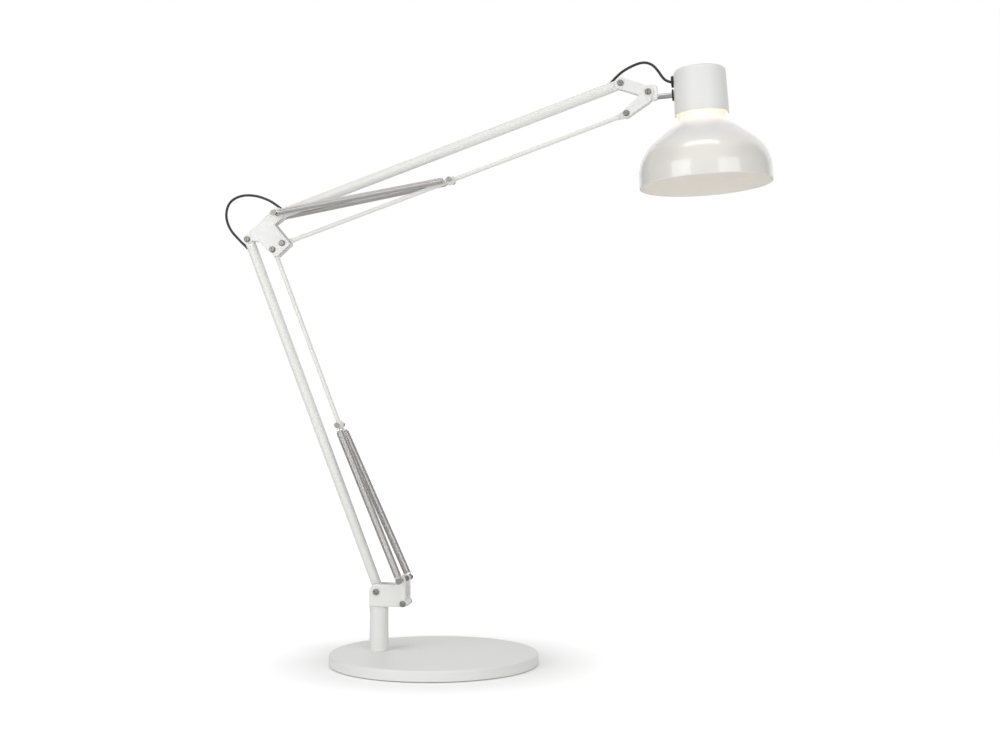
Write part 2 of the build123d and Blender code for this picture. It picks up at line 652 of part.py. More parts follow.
pieces["lower_arm_tube"] = arm_tube(ARM_PIVOT, LOWER_ANGLE, LOWER_LEN, [elbow_lower_way])
pieces["lower_arm_bottom_fitting"] = arm_fitting(ARM_PIVOT, LOWER_ANGLE, ELBOW_TONGUE_T)
pieces["lower_arm_top_fitting"] = arm_fitting(ELBOW_ARM, LOWER_ANGLE + 180, ELBOW_TONGUE_T, elbow_lower_way)
pieces["lower_rod"] = arm_rod(ROD_PIVOT, LOWER_ANGLE, LOWER_LEN, LOWER_ROD_PIN_AT)
pieces["lower_rod_collar"] = rod_collar(LOWER_ROD_PIN, LOWER_ANGLE)
pieces["lower_rod_spring_pin"] = headed_pin(LOWER_ROD_PIN, ROD_PIN_D, ROD_PIN_HEAD_D, ROD_PIN_HEAD_T,
                                            rod_pin_head_foot)
pieces["upper_arm_tube"] = arm_tube(ELBOW_TOP, UPPER_ANGLE, UPPER_LEN, [elbow_upper_way, knuckle_way])
pieces["upper_arm_back_fitting"] = arm_fitting(ELBOW_TOP, UPPER_ANGLE, ELBOW_TONGUE_T, elbow_upper_way)
pieces["upper_arm_front_fitting"] = arm_fitting(KNUCKLE_ARM, UPPER_ANGLE + 180, KNUCKLE_TONGUE_T, knuckle_way)
pieces["upper_rod"] = arm_rod(ELBOW_TOP_ROD, UPPER_ANGLE, UPPER_LEN, UPPER_ROD_PIN_AT)
pieces["upper_rod_collar"] = rod_collar(UPPER_ROD_PIN, UPPER_ANGLE)
pieces["upper_rod_spring_pin"] = headed_pin(UPPER_ROD_PIN, ROD_PIN_D, ROD_PIN_HEAD_D, ROD_PIN_HEAD_T,
                                            rod_pin_head_foot)

# ---------------------------------------------------------------------------------------------------------
# Elbow: two flat plates, the same on both sides
# ---------------------------------------------------------------------------------------------------------
# lower lobe of the plate, from the lower arm's pivot; the first and last points lie inside the upper lobe
ELBOW_LOBE_POINTS = [(1.0, -1.0), (14.8, -3.4), (25.4, -13.6), (36.7, -21.7), (54.0, -6.6), (32.2, 18.7)]
ELBOW_LOBE_RADII = [0, 5.0, 5.0, 2.5, 2.0, 0]
ELBOW_NOTCH = (34.2, 16.4)


def elbow_plate(y_outer):
    with BuildPart() as plate:
        with BuildSketch(side_plane(ELBOW_ARM, y=y_outer)) as outline:
            Circle(ELBOW_ARM_LOBE_R)
            with Locations((ELBOW_SPAN.X, ELBOW_SPAN.Z)):
                Circle(ELBOW_TOP_LOBE_R)
            make_hull()
            with BuildLine():
                FilletPolyline(*ELBOW_LOBE_POINTS, radius=ELBOW_LOBE_RADII, close=True)
            make_face()
            notch = outline.vertices().sort_by_distance(ELBOW_NOTCH)[0]
            fillet(notch, radius=ELBOW_NOTCH_R)
            pivots = [ELBOW_ARM, ELBOW_ROD, ELBOW_TOP, ELBOW_TOP_ROD]
            with Locations(*[(p.X - ELBOW_ARM.X, p.Z - ELBOW_ARM.Z) for p in pivots]):
                Circle(PIVOT_HOLE_D / 2, mode=Mode.SUBTRACT)
        extrude(amount=PLATE_T)
    return plate.part


elbow_screw_pivots = (ELBOW_ARM, ELBOW_ROD, ELBOW_TOP_ROD)
elbow_inside = ELBOW_GAP / 2
pieces["elbow_plate_front"] = elbow_plate(-elbow_inside)
pieces["elbow_plate_rear"] = elbow_plate(ELBOW_HALF)
pieces["elbow_screws"] = gather(pivot_screw(p, ELBOW_HALF) for p in elbow_screw_pivots)
pieces["elbow_nuts"] = gather(pivot_nut(p, ELBOW_HALF) for p in elbow_screw_pivots)
pieces["elbow_spacers"] = gather(
    spacer_pair(ELBOW_ROD, ROD_EYE_T / 2, elbow_inside) + spacer_pair(ELBOW_TOP_ROD, ROD_EYE_T / 2, elbow_inside))
pieces["elbow_spring_pin"] = headed_pin(ELBOW_TOP, PIVOT_D, SPRING_PIN_HEAD_D, SPRING_PIN_HEAD_T,
                                        elbow_pin_head_foot)

# ---------------------------------------------------------------------------------------------------------
# Knuckle: two small plates that keep the head level
# ---------------------------------------------------------------------------------------------------------

def knuckle_plate(y_outer):
    rod_lobe = (UPPER_CRANK.X, UPPER_CRANK.Z)
    head_lobe = (HEAD_PIVOT_FROM_ARM.X, HEAD_PIVOT_FROM_ARM.Z)
    heel = (head_lobe[0] + KNUCKLE_HEEL.X, head_lobe[1] + KNUCKLE_HEEL.Z)
    with BuildSketch(Plane.XY, mode=Mode.PRIVATE) as lower_strip:
        for centre, radius in ((rod_lobe, KNUCKLE_ROD_LOBE_R), (head_lobe, KNUCKLE_ROD_LOBE_R),
                               (heel, KNUCKLE_HEEL_R)):
            with Locations(centre):
                Circle(radius)
        make_hull()
    with BuildPart() as plate:
        with BuildSketch(side_plane(KNUCKLE_ARM, y=y_outer)) as outline:
            Circle(KNUCKLE_ARM_LOBE_R)
            with Locations(head_lobe):
                Circle(KNUCKLE_HEAD_LOBE_R)
            make_hull()
            add(lower_strip.sketch)
            with Locations((0, 0), rod_lobe, head_lobe):
                Circle(PIVOT_HOLE_D / 2, mode=Mode.SUBTRACT)
        extrude(amount=PLATE_T)
    return plate.part


knuckle_pivots = (KNUCKLE_ARM, KNUCKLE_ROD, HEAD_PIVOT)
knuckle_inside = KNUCKLE_GAP / 2
pieces["knuckle_plate_front"] = knuckle_plate(-knuckle_inside)
pieces["knuckle_plate_rear"] = knuckle_plate(KNUCKLE_HALF)
pieces["knuckle_screws"] = gather(pivot_screw(p, KNUCKLE_HALF) for p in knuckle_pivots)
pieces["knuckle_nuts"] = gather(pivot_nut(p, KNUCKLE_HALF) for p in knuckle_pivots)
pieces["knuckle_spacers"] = gather(spacer_pair(KNUCKLE_ROD, ROD_EYE_T / 2, knuckle_inside))

# ---------------------------------------------------------------------------------------------------------
# Springs
# ---------------------------------------------------------------------------------------------------------

def biarc(start, start_way, end, end_way):
    """Two tangent arcs of equal reach between two points with given directions."""
    reach = end - start
    along = reach.dot(start_way + end_way)
    lean = 2 * (1 - start_way.dot(end_way))
    span = (sqrt(along**2 + lean * reach.dot(reach)) - along) / lean
    first, second = start + start_way * span, end - end_way * span
    middle = (first + second) * 0.5
    TangentArc(start, middle, tangent=start_way)
    TangentArc(middle, end, tangent=(second - first).normalized())


def spring_frame(fixed, moving):
    """Frame on the fixed pin, with z along the spring and x in the plane of the hook."""
    along = (moving - fixed).normalized()
    return Plane(origin=fixed, x_dir=Vector(along.Z, 0, -along.X), z_dir=along)


def least_gap(wire_path, wire_d):
    """Least clear distance between stretches of a path that are more than three diameters apart along it."""
    length = wire_path.length
    points = [wire_path.position_at(i / GAUGE_POINTS) for i in range(GAUGE_POINTS + 1)]
    skip = int(3 * wire_d / (length / GAUGE_POINTS)) + 1
    return min((points[i] - points[j]).length
               for i in range(len(points)) for j in range(i + skip, len(points), 2)) - wire_d


def coil_spring(fixed, moving, outer_d, wire_d, pin_d):
    """Unbroken wire: a hook round the fixed pin, the turns, and a last turn drawn in round the swivel hook."""
    frame = spring_frame(fixed, moving)
    coil_r = (outer_d - wire_d) / 2
    hook_r = pin_d / 2 + wire_d / 2 + HOOK_PLAY
    end_r = wire_d + HOOK_PLAY
    first_turn = HOOK_TIP + HOOK_LEAD
    coil_len = (moving - fixed).length - COIL_END_GAP - first_turn
    steps = round(2 * SPRING_TURNS)
    rise = coil_len / (steps + 1)

    def place(x, y, z):
        return frame.from_local_coords(Vector(x, y, z))

    def way(x, y, z):
        return (place(x, y, z) - frame.origin).normalized()

    knots = [(place(hook_r, 0, HOOK_TIP), way(0, 0, 1))]
    for step in range(steps + 1):
        turn = radians(90 + 180 * step)
        knots.append((place(coil_r * cos(turn), coil_r * sin(turn), first_turn + rise * step),
                      way(-sin(turn), cos(turn), rise / (radians(180) * coil_r))))
    turn = radians(90 + 180 * (steps + 1))
    knots.append((place(end_r * cos(turn), end_r * sin(turn), first_turn + rise * (steps + 1)),
                  way(-sin(turn), cos(turn), COIL_END_RISE)))

    with BuildPart() as spring:
        with BuildLine() as path:
            Line(place(-hook_r, 0, HOOK_TIP), place(-hook_r, 0, 0))
            ThreePointArc(place(-hook_r, 0, 0), place(0, 0, -hook_r), place(hook_r, 0, 0))
            Line(place(hook_r, 0, 0), place(hook_r, 0, HOOK_TIP))
            for (start, start_way), (end, end_way) in zip(knots, knots[1:]):
                biarc(start, start_way, end, end_way)
        wire_path = path.wires()[0]
        with BuildSketch(wire_path ^ 0):
            Circle(wire_d / 2)
        sweep(path=wire_path)
    ratio = spring.part.volume / (wire_path.length * pi * wire_d**2 / 4)
    gap = least_gap(wire_path, wire_d)
    print(f"spring: wire length {wire_path.length:.1f}, least gap {gap:.2f}, volume ratio {ratio:.4f}")
    return spring.part


def swivel_hook(fixed, moving, wire_d, pin_d):
    """Hook round the rod's pin, with a beaded shank that turns and slides in the end of the spring."""
    frame = spring_frame(fixed, moving)
    hook_r = pin_d / 2 + wire_d / 2 + HOOK_PLAY
    origin_z = (moving - fixed).length

    def place(x, z):
        return frame.from_local_coords(Vector(x, 0, origin_z + z))

    with BuildPart() as hook:
        with BuildLine() as path:
            Line(place(hook_r, -HOOK_TIP / 2), place(hook_r, 0))
            ThreePointArc(place(hook_r, 0), place(0, hook_r), place(-hook_r, 0))
            FilletPolyline(place(-hook_r, 0), place(-hook_r, -SHANK_BEND_START), place(0, -SHANK_BEND_END),
                           place(0, -SHANK_LEN), radius=SHANK_BEND_R)
        wire_path = path.wires()[0]
        with BuildSketch(wire_path ^ 0):
            Circle(wire_d / 2)
        sweep(path=wire_path)
        with BuildSketch(Plane(origin=place(0, -SHANK_LEN), z_dir=frame.z_dir)):
            Circle(SHANK_BEAD_R)
        extrude(amount=-SHANK_BEAD_T)
    return hook.part


def at_y(point, y):
    return Vector(point.X, y, point.Z)


for arm, fixed, fixed_y, moving, coil_d, wire_d in (
        ("lower", STUD_PIVOT, LOWER_STUD_Y, LOWER_ROD_PIN, LOWER_SPRING_D, LOWER_SPRING_WIRE),
        ("upper", ELBOW_TOP, UPPER_PIN_Y, UPPER_ROD_PIN, UPPER_SPRING_D, UPPER_SPRING_WIRE)):
    ends = [(at_y(fixed, side * fixed_y), at_y(moving, side * ROD_PIN_Y)) for side in (-1, 1)]
    pieces[f"{arm}_springs"] = gather(coil_spring(*pair, coil_d, wire_d, PIVOT_D) for pair in ends)
    pieces[f"{arm}_spring_hooks"] = gather(swivel_hook(*pair, wire_d, ROD_PIN_D) for pair in ends)

# ---------------------------------------------------------------------------------------------------------
# Head: hinge block and stud, which tilt, and the neck, holder and shade, which also turn on the stud
# ---------------------------------------------------------------------------------------------------------
block_back = -HEAD_REACH - HINGE_BLOCK_BACK
block_front = -HEAD_REACH + HINGE_BLOCK_FRONT
block_top = STUD_DROP + HINGE_BLOCK_TOP


def head_cross(x):
    """Plane square to the stud, facing the neck, at a place along the stud from the neck's axis."""
    return across_plane(HEAD_ORIGIN, HEAD_TILT, x)


def neck_radius(height):
    share = (NECK_TOP - height) / (NECK_TOP - NECK_FOOT)
    return NECK_TOP_R + (NECK_FOOT_R - NECK_TOP_R) * share


with BuildPart() as hinge_block:
    with BuildSketch(side_plane(HEAD_ORIGIN, HEAD_TILT, y=HINGE_BLOCK_T / 2)):
        with Locations(((block_back + block_front) / 2, (block_top - HINGE_BLOCK_FOOT) / 2)):
            RectangleRounded(block_front - block_back, block_top + HINGE_BLOCK_FOOT, HINGE_BLOCK_R)
        with Locations((-HEAD_REACH, STUD_DROP)):
            Circle(PIVOT_HOLE_D / 2, mode=Mode.SUBTRACT)
    extrude(amount=HINGE_BLOCK_T)
    with BuildSketch(head_cross(block_front - STUD_SEAT)):
        Circle(STUD_D / 2 + FIT)
    extrude(amount=STUD_SEAT, mode=Mode.SUBTRACT)
pieces["hinge_block"] = hinge_block.part

with BuildPart() as head_stud:
    with BuildSketch(head_cross(block_front - STUD_SEAT)):
        Circle(STUD_D / 2)
    extrude(amount=STUD_TIP - block_front + STUD_SEAT)
pieces["head_stud"] = head_stud.part

washer_face = -neck_radius(-WASHER_D / 2) - REST_GAP
with BuildPart() as stud_washer:
    with BuildSketch(head_cross(washer_face)):
        Circle(WASHER_D / 2)
        Circle(STUD_D / 2 + FIT, mode=Mode.SUBTRACT)
    extrude(amount=-WASHER_T)
pieces["stud_washer"] = stud_washer.part

with BuildPart() as stud_nut:
    with BuildSketch(head_cross(STRAP_FACE + STRAP_T + SLIP)):
        RegularPolygon(radius=STUD_NUT_AF / 2, side_count=6, major_radius=False)
        Circle(STUD_D / 2 + FIT, mode=Mode.SUBTRACT)
    extrude(amount=STUD_NUT_H)
pieces["stud_nut"] = stud_nut.part

with BuildPart() as neck_cover:
    with BuildSketch(HEAD_SIDE) as half_section:
        with BuildLine():
            FilletPolyline((0, NECK_TOP), (NECK_TOP_R, NECK_TOP), (NECK_FOOT_R, NECK_FOOT),
                           radius=[NECK_EDGE_R])
            Line((NECK_FOOT_R, NECK_FOOT), (NECK_FOOT_R - NECK_WALL, NECK_FOOT))
            FilletPolyline((NECK_FOOT_R - NECK_WALL, NECK_FOOT), (NECK_TOP_R - NECK_WALL, NECK_TOP - NECK_WALL),
                           (0, NECK_TOP - NECK_WALL), radius=[NECK_EDGE_R - NECK_WALL])
            Line((0, NECK_TOP - NECK_WALL), (0, NECK_TOP))
        make_face()
    revolve(axis=HEAD_AXIS)
    with BuildSketch(head_cross(-NECK_FOOT_R - 1)):
        Circle(STUD_D / 2 + SLIP)
        with Locations((0, GROMMET_AT)):
            Circle(GROMMET_STEM_D / 2 + SLIP)
    extrude(amount=NECK_FOOT_R, mode=Mode.SUBTRACT)
pieces["neck_cover"] = neck_cover.part

grommet_face = -neck_radius(GROMMET_AT) - GROMMET_PROUD
with BuildPart() as cable_grommet:
    with BuildSketch(head_cross(grommet_face)):
        with Locations((0, GROMMET_AT)):
            Circle(GROMMET_D / 2)
    extrude(amount=GROMMET_PROUD + NECK_WALL)
    fillet(cable_grommet.edges().group_by(Axis(HEAD_ORIGIN, heading(HEAD_TILT)))[0], radius=GROMMET_EDGE_R)
    with BuildSketch(HEAD_SIDE):
        with BuildLine():
            Polyline((0, NECK_TOP), (NECK_TOP_R + FIT, NECK_TOP), (NECK_FOOT_R + FIT, NECK_FOOT), (0, NECK_FOOT),
                     close=True)
        make_face()
    revolve(axis=HEAD_AXIS, mode=Mode.SUBTRACT)
    with BuildSketch(head_cross(grommet_face + GROMMET_PROUD / 2)):
        with Locations((0, GROMMET_AT)):
            Circle(GROMMET_STEM_D / 2)
    extrude(amount=STRAP_FACE - SLIP - grommet_face - GROMMET_PROUD / 2)
    with BuildSketch(head_cross(grommet_face)):
        with Locations((0, GROMMET_AT)):
            Circle(CORD_D / 2 + FIT)
    extrude(amount=STRAP_FACE - grommet_face, mode=Mode.SUBTRACT)
pieces["cable_grommet"] = cable_grommet.part

with BuildPart() as holder_strap:
    with BuildSketch(side_plane(HEAD_ORIGIN, HEAD_TILT, y=STRAP_W / 2)):
        with BuildLine():
            Polyline((STRAP_FACE, STRAP_FOOT), (STRAP_FACE, STRAP_SEAT + STRAP_T), (STRAP_REACH, STRAP_SEAT + STRAP_T),
                     (STRAP_REACH, STRAP_SEAT), (STRAP_FACE + STRAP_T, STRAP_SEAT),
                     (STRAP_FACE + STRAP_T, STRAP_FOOT), close=True)
        make_face()
    extrude(amount=STRAP_W)
    with BuildSketch(head_cross(STRAP_FACE)):
        Circle(STUD_D / 2 + SLIP)
        with Locations((0, GROMMET_AT)):
            Circle(CORD_WAY_D / 2)
    extrude(amount=STRAP_T, mode=Mode.SUBTRACT)
    with BuildSketch(HEAD_FRAME.offset(STRAP_SEAT)):
        Circle(NIPPLE_D / 2 + FIT)
    extrude(amount=STRAP_T, mode=Mode.SUBTRACT)
pieces["holder_strap"] = holder_strap.part

# threaded nipple and its two nuts, as separate solids
with BuildPart() as holder_nipple:
    with BuildSketch(HEAD_FRAME.offset(NIPPLE_FOOT)):
        Circle(NIPPLE_D / 2)
        Circle(NIPPLE_BORE / 2, mode=Mode.SUBTRACT)
    extrude(amount=NIPPLE_TOP - NIPPLE_FOOT)
    for foot in (STRAP_SEAT - NIPPLE_NUT_H, STRAP_SEAT + STRAP_T):
        with BuildSketch(HEAD_FRAME.offset(foot)):
            RegularPolygon(radius=NIPPLE_NUT_AF / 2, side_count=6, major_radius=False)
            Circle(NIPPLE_D / 2 + FIT, mode=Mode.SUBTRACT)
        extrude(amount=NIPPLE_NUT_H)
pieces["holder_nipple"] = holder_nipple.part

lead_drop = -(NIPPLE_D / 2 + NIPPLE_NUT_AF / 2)
holder_foot = GLASS_SEAT - HOLDER_FOOT_DROP
lip_top = GLASS_SEAT - GLASS_TOP_GAP
with BuildPart() as lampholder:
    with BuildSketch(HEAD_FRAME.offset(holder_foot)):
        Circle(HOLDER_D / 2)
    extrude(amount=HOLDER_TOP - holder_foot)
    with BuildSketch(HEAD_FRAME.offset(lip_top)):
        Circle(HOLDER_FLANGE_D / 2)
    extrude(amount=HOLDER_FLANGE_T)
    with BuildSketch(HEAD_FRAME.offset(holder_foot)):
        Circle(SOCKET_D / 2)
    extrude(amount=SOCKET_DEPTH, mode=Mode.SUBTRACT)
    with BuildSketch(HEAD_FRAME.offset(NIPPLE_FOOT)):
        Circle(NIPPLE_D / 2 + FIT)
        with Locations((lead_drop, 0)):
            Circle(CORD_WAY_D / 2)
    extrude(amount=HOLDER_TOP - NIPPLE_FOOT, mode=Mode.SUBTRACT)
pieces["lampholder"] = lampholder.part


def in_head(x, height):
    return HEAD_ORIGIN + heading(HEAD_TILT) * x + HEAD_UP * height


cord_stretch("head_lead", [in_head(grommet_face, GROMMET_AT), in_head(lead_drop, GROMMET_AT),
                           in_head(lead_drop, NIPPLE_FOOT + SLIP)])

ring_top = lip_top - GLASS_WALL - SLIP
with BuildPart() as shade_ring:
    with BuildSketch(HEAD_FRAME.offset(ring_top)):
        Circle(RING_D / 2)
        Circle(HOLDER_D / 2 + FIT, mode=Mode.SUBTRACT)
    extrude(amount=-RING_H)
pieces["shade_ring"] = shade_ring.part

cap_foot = holder_foot - CAP_TIP_H
cap_top = cap_foot + CAP_LEN
with BuildPart() as bulb_cap:
    with BuildSketch(HEAD_FRAME.offset(cap_foot)):
        Circle(CAP_D / 2)
    extrude(amount=CAP_LEN)
    with BuildSketch(HEAD_FRAME.offset(cap_top)):
        Circle(CAP_TIP_D / 2)
    extrude(amount=CAP_TIP_H)

bulb_centre = GLASS_SEAT - BULB_REACH + BULB_D / 2
glass_top = cap_foot - SLIP
with BuildPart() as bulb_glass:
    neck_meets = bulb_centre + sqrt((BULB_D / 2) ** 2 - (BULB_NECK_D / 2) ** 2)
    with BuildSketch(HEAD_SIDE):
        with BuildLine():
            Line((0, bulb_centre - BULB_D / 2), (0, glass_top))
            Line((0, glass_top), (BULB_NECK_D / 2, glass_top))
            Line((BULB_NECK_D / 2, glass_top), (BULB_NECK_D / 2, neck_meets))
            ThreePointArc((BULB_NECK_D / 2, neck_meets), (BULB_D / 2, bulb_centre), (0, bulb_centre - BULB_D / 2))
        make_face()
    revolve(axis=HEAD_AXIS)
pieces["bulb"] = gather([bulb_glass.part, bulb_cap.part])


def bell_profile(inset):
    """Flank of the shade as arcs and straights, moved inwards by an inset; heights fall from the glass's seat."""
    throat_x = GLASS_COLLAR_R + GLASS_THROAT_R
    throat_r = GLASS_THROAT_R + inset
    slope = radians(GLASS_FLARE)
    dome_x = GLASS_RIM_R - GLASS_DOME_R
    dome_r = GLASS_DOME_R - inset
    # depth of the dome's centre, so that the straight flank is tangent to both arcs
    flank_x = dome_x + GLASS_DOME_R * cos(slope) - throat_x + GLASS_THROAT_R * cos(slope)
    dome_depth = GLASS_COLLAR_FOOT + (GLASS_THROAT_R + GLASS_DOME_R) * sin(slope) + flank_x / tan(slope)

    def point(x, depth):
        return (x, GLASS_SEAT - depth)

    def throat(angle):
        return point(throat_x - throat_r * cos(angle), GLASS_COLLAR_FOOT + throat_r * sin(angle))

    def dome(angle):
        return point(dome_x + dome_r * cos(angle), dome_depth - dome_r * sin(angle))

    top = GLASS_TOP_GAP + inset
    Line(point(GLASS_COLLAR_R - inset, top), throat(0))
    ThreePointArc(throat(0), throat(slope / 2), throat(slope))
    Line(throat(slope), dome(slope))
    ThreePointArc(dome(slope), dome(slope / 2), dome(0))
    Line(dome(0), point(GLASS_RIM_R - inset, GLASS_HEIGHT))
    return point(GLASS_COLLAR_R - inset, top), point(GLASS_RIM_R - inset, GLASS_HEIGHT)


with BuildPart() as glass_shade:
    with BuildSketch(HEAD_SIDE) as section:
        with BuildLine():
            outer_top, outer_rim = bell_profile(0)
            inner_top, inner_rim = bell_profile(GLASS_WALL)
            Line(outer_rim, inner_rim)
            Polyline(outer_top, (GLASS_LIP_D / 2, outer_top[1]), (GLASS_LIP_D / 2, inner_top[1]), inner_top)
        make_face()
        fillet(section.vertices().sort_by(Axis.Y)[:2], radius=GLASS_EDGE_R)
        fillet(section.vertices().sort_by_distance(outer_top)[0], radius=GLASS_EDGE_R)
    revolve(axis=HEAD_AXIS)
pieces["glass_shade"] = glass_shade.part

# ---------------------------------------------------------------------------------------------------------
os.makedirs("parts", exist_ok=True)
for name, piece in pieces.items():
    piece.label = name
    export_step(piece, f"parts/{name}.step")
print(len(pieces), "nodes written")
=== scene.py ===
# %% [markdown]
# A spring-balanced desk lamp, dressed for a photograph.
# The sizes, joints and hidden parts come from the CAD model, which is loaded here as a fixed frame. This file
# adds what the eye notes: round edges, wound wire, black cord, paint, glass and light. Every piece is made in
# metres in the frame of the CAD model, and all pieces of the lamp but the cords and the springs of the upper
# arm then ride on one of its bodies, so that the lamp still moves.

import json
import math

import bmesh
import bpy
from mathutils import Matrix, Vector


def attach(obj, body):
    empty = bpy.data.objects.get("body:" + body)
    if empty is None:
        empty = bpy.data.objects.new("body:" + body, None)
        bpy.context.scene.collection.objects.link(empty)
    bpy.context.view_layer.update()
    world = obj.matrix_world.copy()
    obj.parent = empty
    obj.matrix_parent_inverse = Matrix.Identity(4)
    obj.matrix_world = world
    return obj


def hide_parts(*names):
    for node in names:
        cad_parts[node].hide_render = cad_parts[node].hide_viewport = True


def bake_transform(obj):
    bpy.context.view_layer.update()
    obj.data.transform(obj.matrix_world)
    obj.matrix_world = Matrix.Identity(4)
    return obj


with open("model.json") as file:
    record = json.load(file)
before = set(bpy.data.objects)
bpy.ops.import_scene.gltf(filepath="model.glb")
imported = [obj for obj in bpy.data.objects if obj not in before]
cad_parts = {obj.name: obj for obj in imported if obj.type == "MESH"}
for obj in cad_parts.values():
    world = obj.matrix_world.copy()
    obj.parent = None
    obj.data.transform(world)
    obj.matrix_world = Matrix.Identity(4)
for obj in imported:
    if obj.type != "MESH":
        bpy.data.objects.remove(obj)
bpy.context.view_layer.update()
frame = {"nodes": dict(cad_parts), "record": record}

# %% [markdown]
# The pivots are the skeleton of the lamp. Each arm is a parallelogram, so two directions and a few offsets
# give every pivot, and screws, springs and cords all start from these points.

# %% Pivots
MM = 0.001


def at(x, z, y=0.0):
    """A point given in millimetres, in the plane of the arms or y in front (negative) or behind it."""
    return Vector((x, y, z)) * MM


def heading(degrees):
    """Direction in the plane of the arms, at an angle above the floor."""
    return Vector((math.cos(math.radians(degrees)), 0.0, math.sin(math.radians(degrees))))


LOWER_ANGLE, UPPER_ANGLE, HEAD_TILT = 111.5, 18.42, 3.2
LOWER_CRANK, UPPER_CRANK = at(32.0, -13.0), at(6.5, -34.6)
arm_pivot = at(-66.0, 81.5)
rod_pivot = arm_pivot + LOWER_CRANK
stud_pivot = arm_pivot + at(30.5, 14.1)
elbow_arm = arm_pivot + heading(LOWER_ANGLE) * 444.0 * MM
elbow_rod = elbow_arm + LOWER_CRANK
elbow_top = elbow_arm + at(37.5, 29.0)
elbow_top_rod = elbow_top + UPPER_CRANK
knuckle_arm = elbow_top + heading(UPPER_ANGLE) * 431.0 * MM
knuckle_rod = knuckle_arm + UPPER_CRANK
head_pivot = knuckle_arm + at(31.2, -11.4)
lower_rod_pin = rod_pivot + heading(LOWER_ANGLE) * 220.7 * MM
upper_rod_pin = elbow_top_rod + heading(UPPER_ANGLE) * 215.5 * MM
head_origin = head_pivot + heading(HEAD_TILT) * 57.9 * MM - heading(HEAD_TILT + 90) * 5.8 * MM
print("head axis at, m:", [round(v, 4) for v in head_origin])

# %% [markdown]
# The camera stands where the photographer stood, a little lower than the lamp's middle and turned slightly to
# the left. Its lens is worked out from the focal length in pixels, because the size of the sensor isn't
# known.

# %% Camera
PHOTO_WIDTH = 1000
FOCAL_PIXELS = 1402.0
TURNED_LEFT, LIFTED = math.radians(12.24), math.radians(1.63)

camera = bpy.data.objects.new("camera", bpy.data.cameras.new("camera"))
bpy.context.scene.collection.objects.link(camera)
bpy.context.scene.camera = camera
camera.data.sensor_width = 36.0
camera.data.lens = FOCAL_PIXELS / PHOTO_WIDTH * camera.data.sensor_width
camera.data.clip_start = 0.05
camera.location = at(418.0, 285.7, -1568.6)
look = Vector((-math.sin(TURNED_LEFT) * math.cos(LIFTED), math.cos(TURNED_LEFT) * math.cos(LIFTED),
               math.sin(LIFTED)))
camera.rotation_euler = look.to_track_quat("-Z", "Y").to_euler()
print("lens, mm:", round(camera.data.lens, 2))

# %% [markdown]
# Materials come before the pieces, because each piece is given one when it is made. Colours are written as
# the hex values that a colour picker shows, and one function turns them into the linear values that light
# works with. Another small function adds a node, sets it and links it, so that each material reads as a short
# recipe.

# %% Colour and node helpers
def linear(hex_colour):
    """Linear RGBA of an sRGB hex colour."""
    shares = [int(hex_colour[i:i + 2], 16) / 255 for i in (1, 3, 5)]
    return (*[s / 12.92 if s <= 0.04045 else ((s + 0.055) / 1.055) ** 2.4 for s in shares], 1.0)


def add_node(tree, kind, links=None, **values):
    """Adds a node; a value is one of its settings or, with spaces as underscores, one of its input sockets."""
    node = tree.nodes.new(kind)
    for name, value in values.items():
        if hasattr(node, name):
            setattr(node, name, value)
        else:
            node.inputs[name.replace("_", " ")].default_value = value
    for name, source in (links or {}).items():
        tree.links.new(source, node.inputs[name])
    return node


def finish_named(name, colour, **values):
    """A new material with one shader, and the tree and shader to build on."""
    material = bpy.data.materials.new(name)
    material.use_nodes = True
    tree = material.node_tree
    shader = tree.nodes["Principled BSDF"]
    shader.inputs["Base Color"].default_value = linear(colour)
    for key, value in values.items():
        shader.inputs[key.replace("_", " ")].default_value = value
    return material, tree, shader


def grain(tree, shader, size_mm, height_mm, detail=2.0):
    """Fine relief with a given size and height; returns the noise, for colour or gloss to follow."""
    place = add_node(tree, "ShaderNodeTexCoord")
    noise = add_node(tree, "ShaderNodeTexNoise", {"Vector": place.outputs["Object"]},
                     Scale=1.0 / (size_mm * MM), Detail=detail, Roughness=0.5)
    bump = add_node(tree, "ShaderNodeBump", {"Height": noise.outputs["Fac"]}, Strength=1.0,
                    Distance=height_mm * MM)
    tree.links.new(bump.outputs["Normal"], shader.inputs["Normal"])
    return noise


def vary(tree, noise, shader, socket, low, high):
    """A socket of the shader wanders between two values with the noise."""
    spread = add_node(tree, "ShaderNodeMapRange", {"Value": noise.outputs["Fac"]}, From_Min=0.3, From_Max=0.7,
                      To_Min=low, To_Max=high)
    tree.links.new(spread.outputs["Result"], shader.inputs[socket])


def tint(tree, noise, shader, low, high):
    """The base colour wanders between two hex colours with the noise."""
    ramp = add_node(tree, "ShaderNodeValToRGB", {"Fac": noise.outputs["Fac"]})
    ramp.color_ramp.elements[0].position, ramp.color_ramp.elements[0].color = 0.35, linear(low)
    ramp.color_ramp.elements[1].position, ramp.color_ramp.elements[1].color = 0.65, linear(high)
    tree.links.new(ramp.outputs["Color"], shader.inputs["Base Color"])


# %% [markdown]
# All painted parts are polyester powder coat, baked on steel: white, satin, with the faint orange peel of
# powder that has melted and flowed. On sheet parts the peel is about 0.9 mm from crest to crest and two
# microns high. The tubes are smoother, so they get a finish of their own with a longer, flatter peel and more
# gloss.

# %% Paints
coated_steel, tree, shader = finish_named("powder_coated_steel", "#E9E9E6", Roughness=0.42)
noise = grain(tree, shader, 0.9, 0.002)
tint(tree, noise, shader, "#E8E8E5", "#EAEAE8")
vary(tree, noise, shader, "Roughness", 0.4, 0.45)

coated_tube, tree, shader = finish_named("powder_coated_tube", "#E8E8E5", Roughness=0.3)
noise = grain(tree, shader, 1.2, 0.0012)
tint(tree, noise, shader, "#E7E7E4", "#E9E9E6")
vary(tree, noise, shader, "Roughness", 0.3, 0.36)

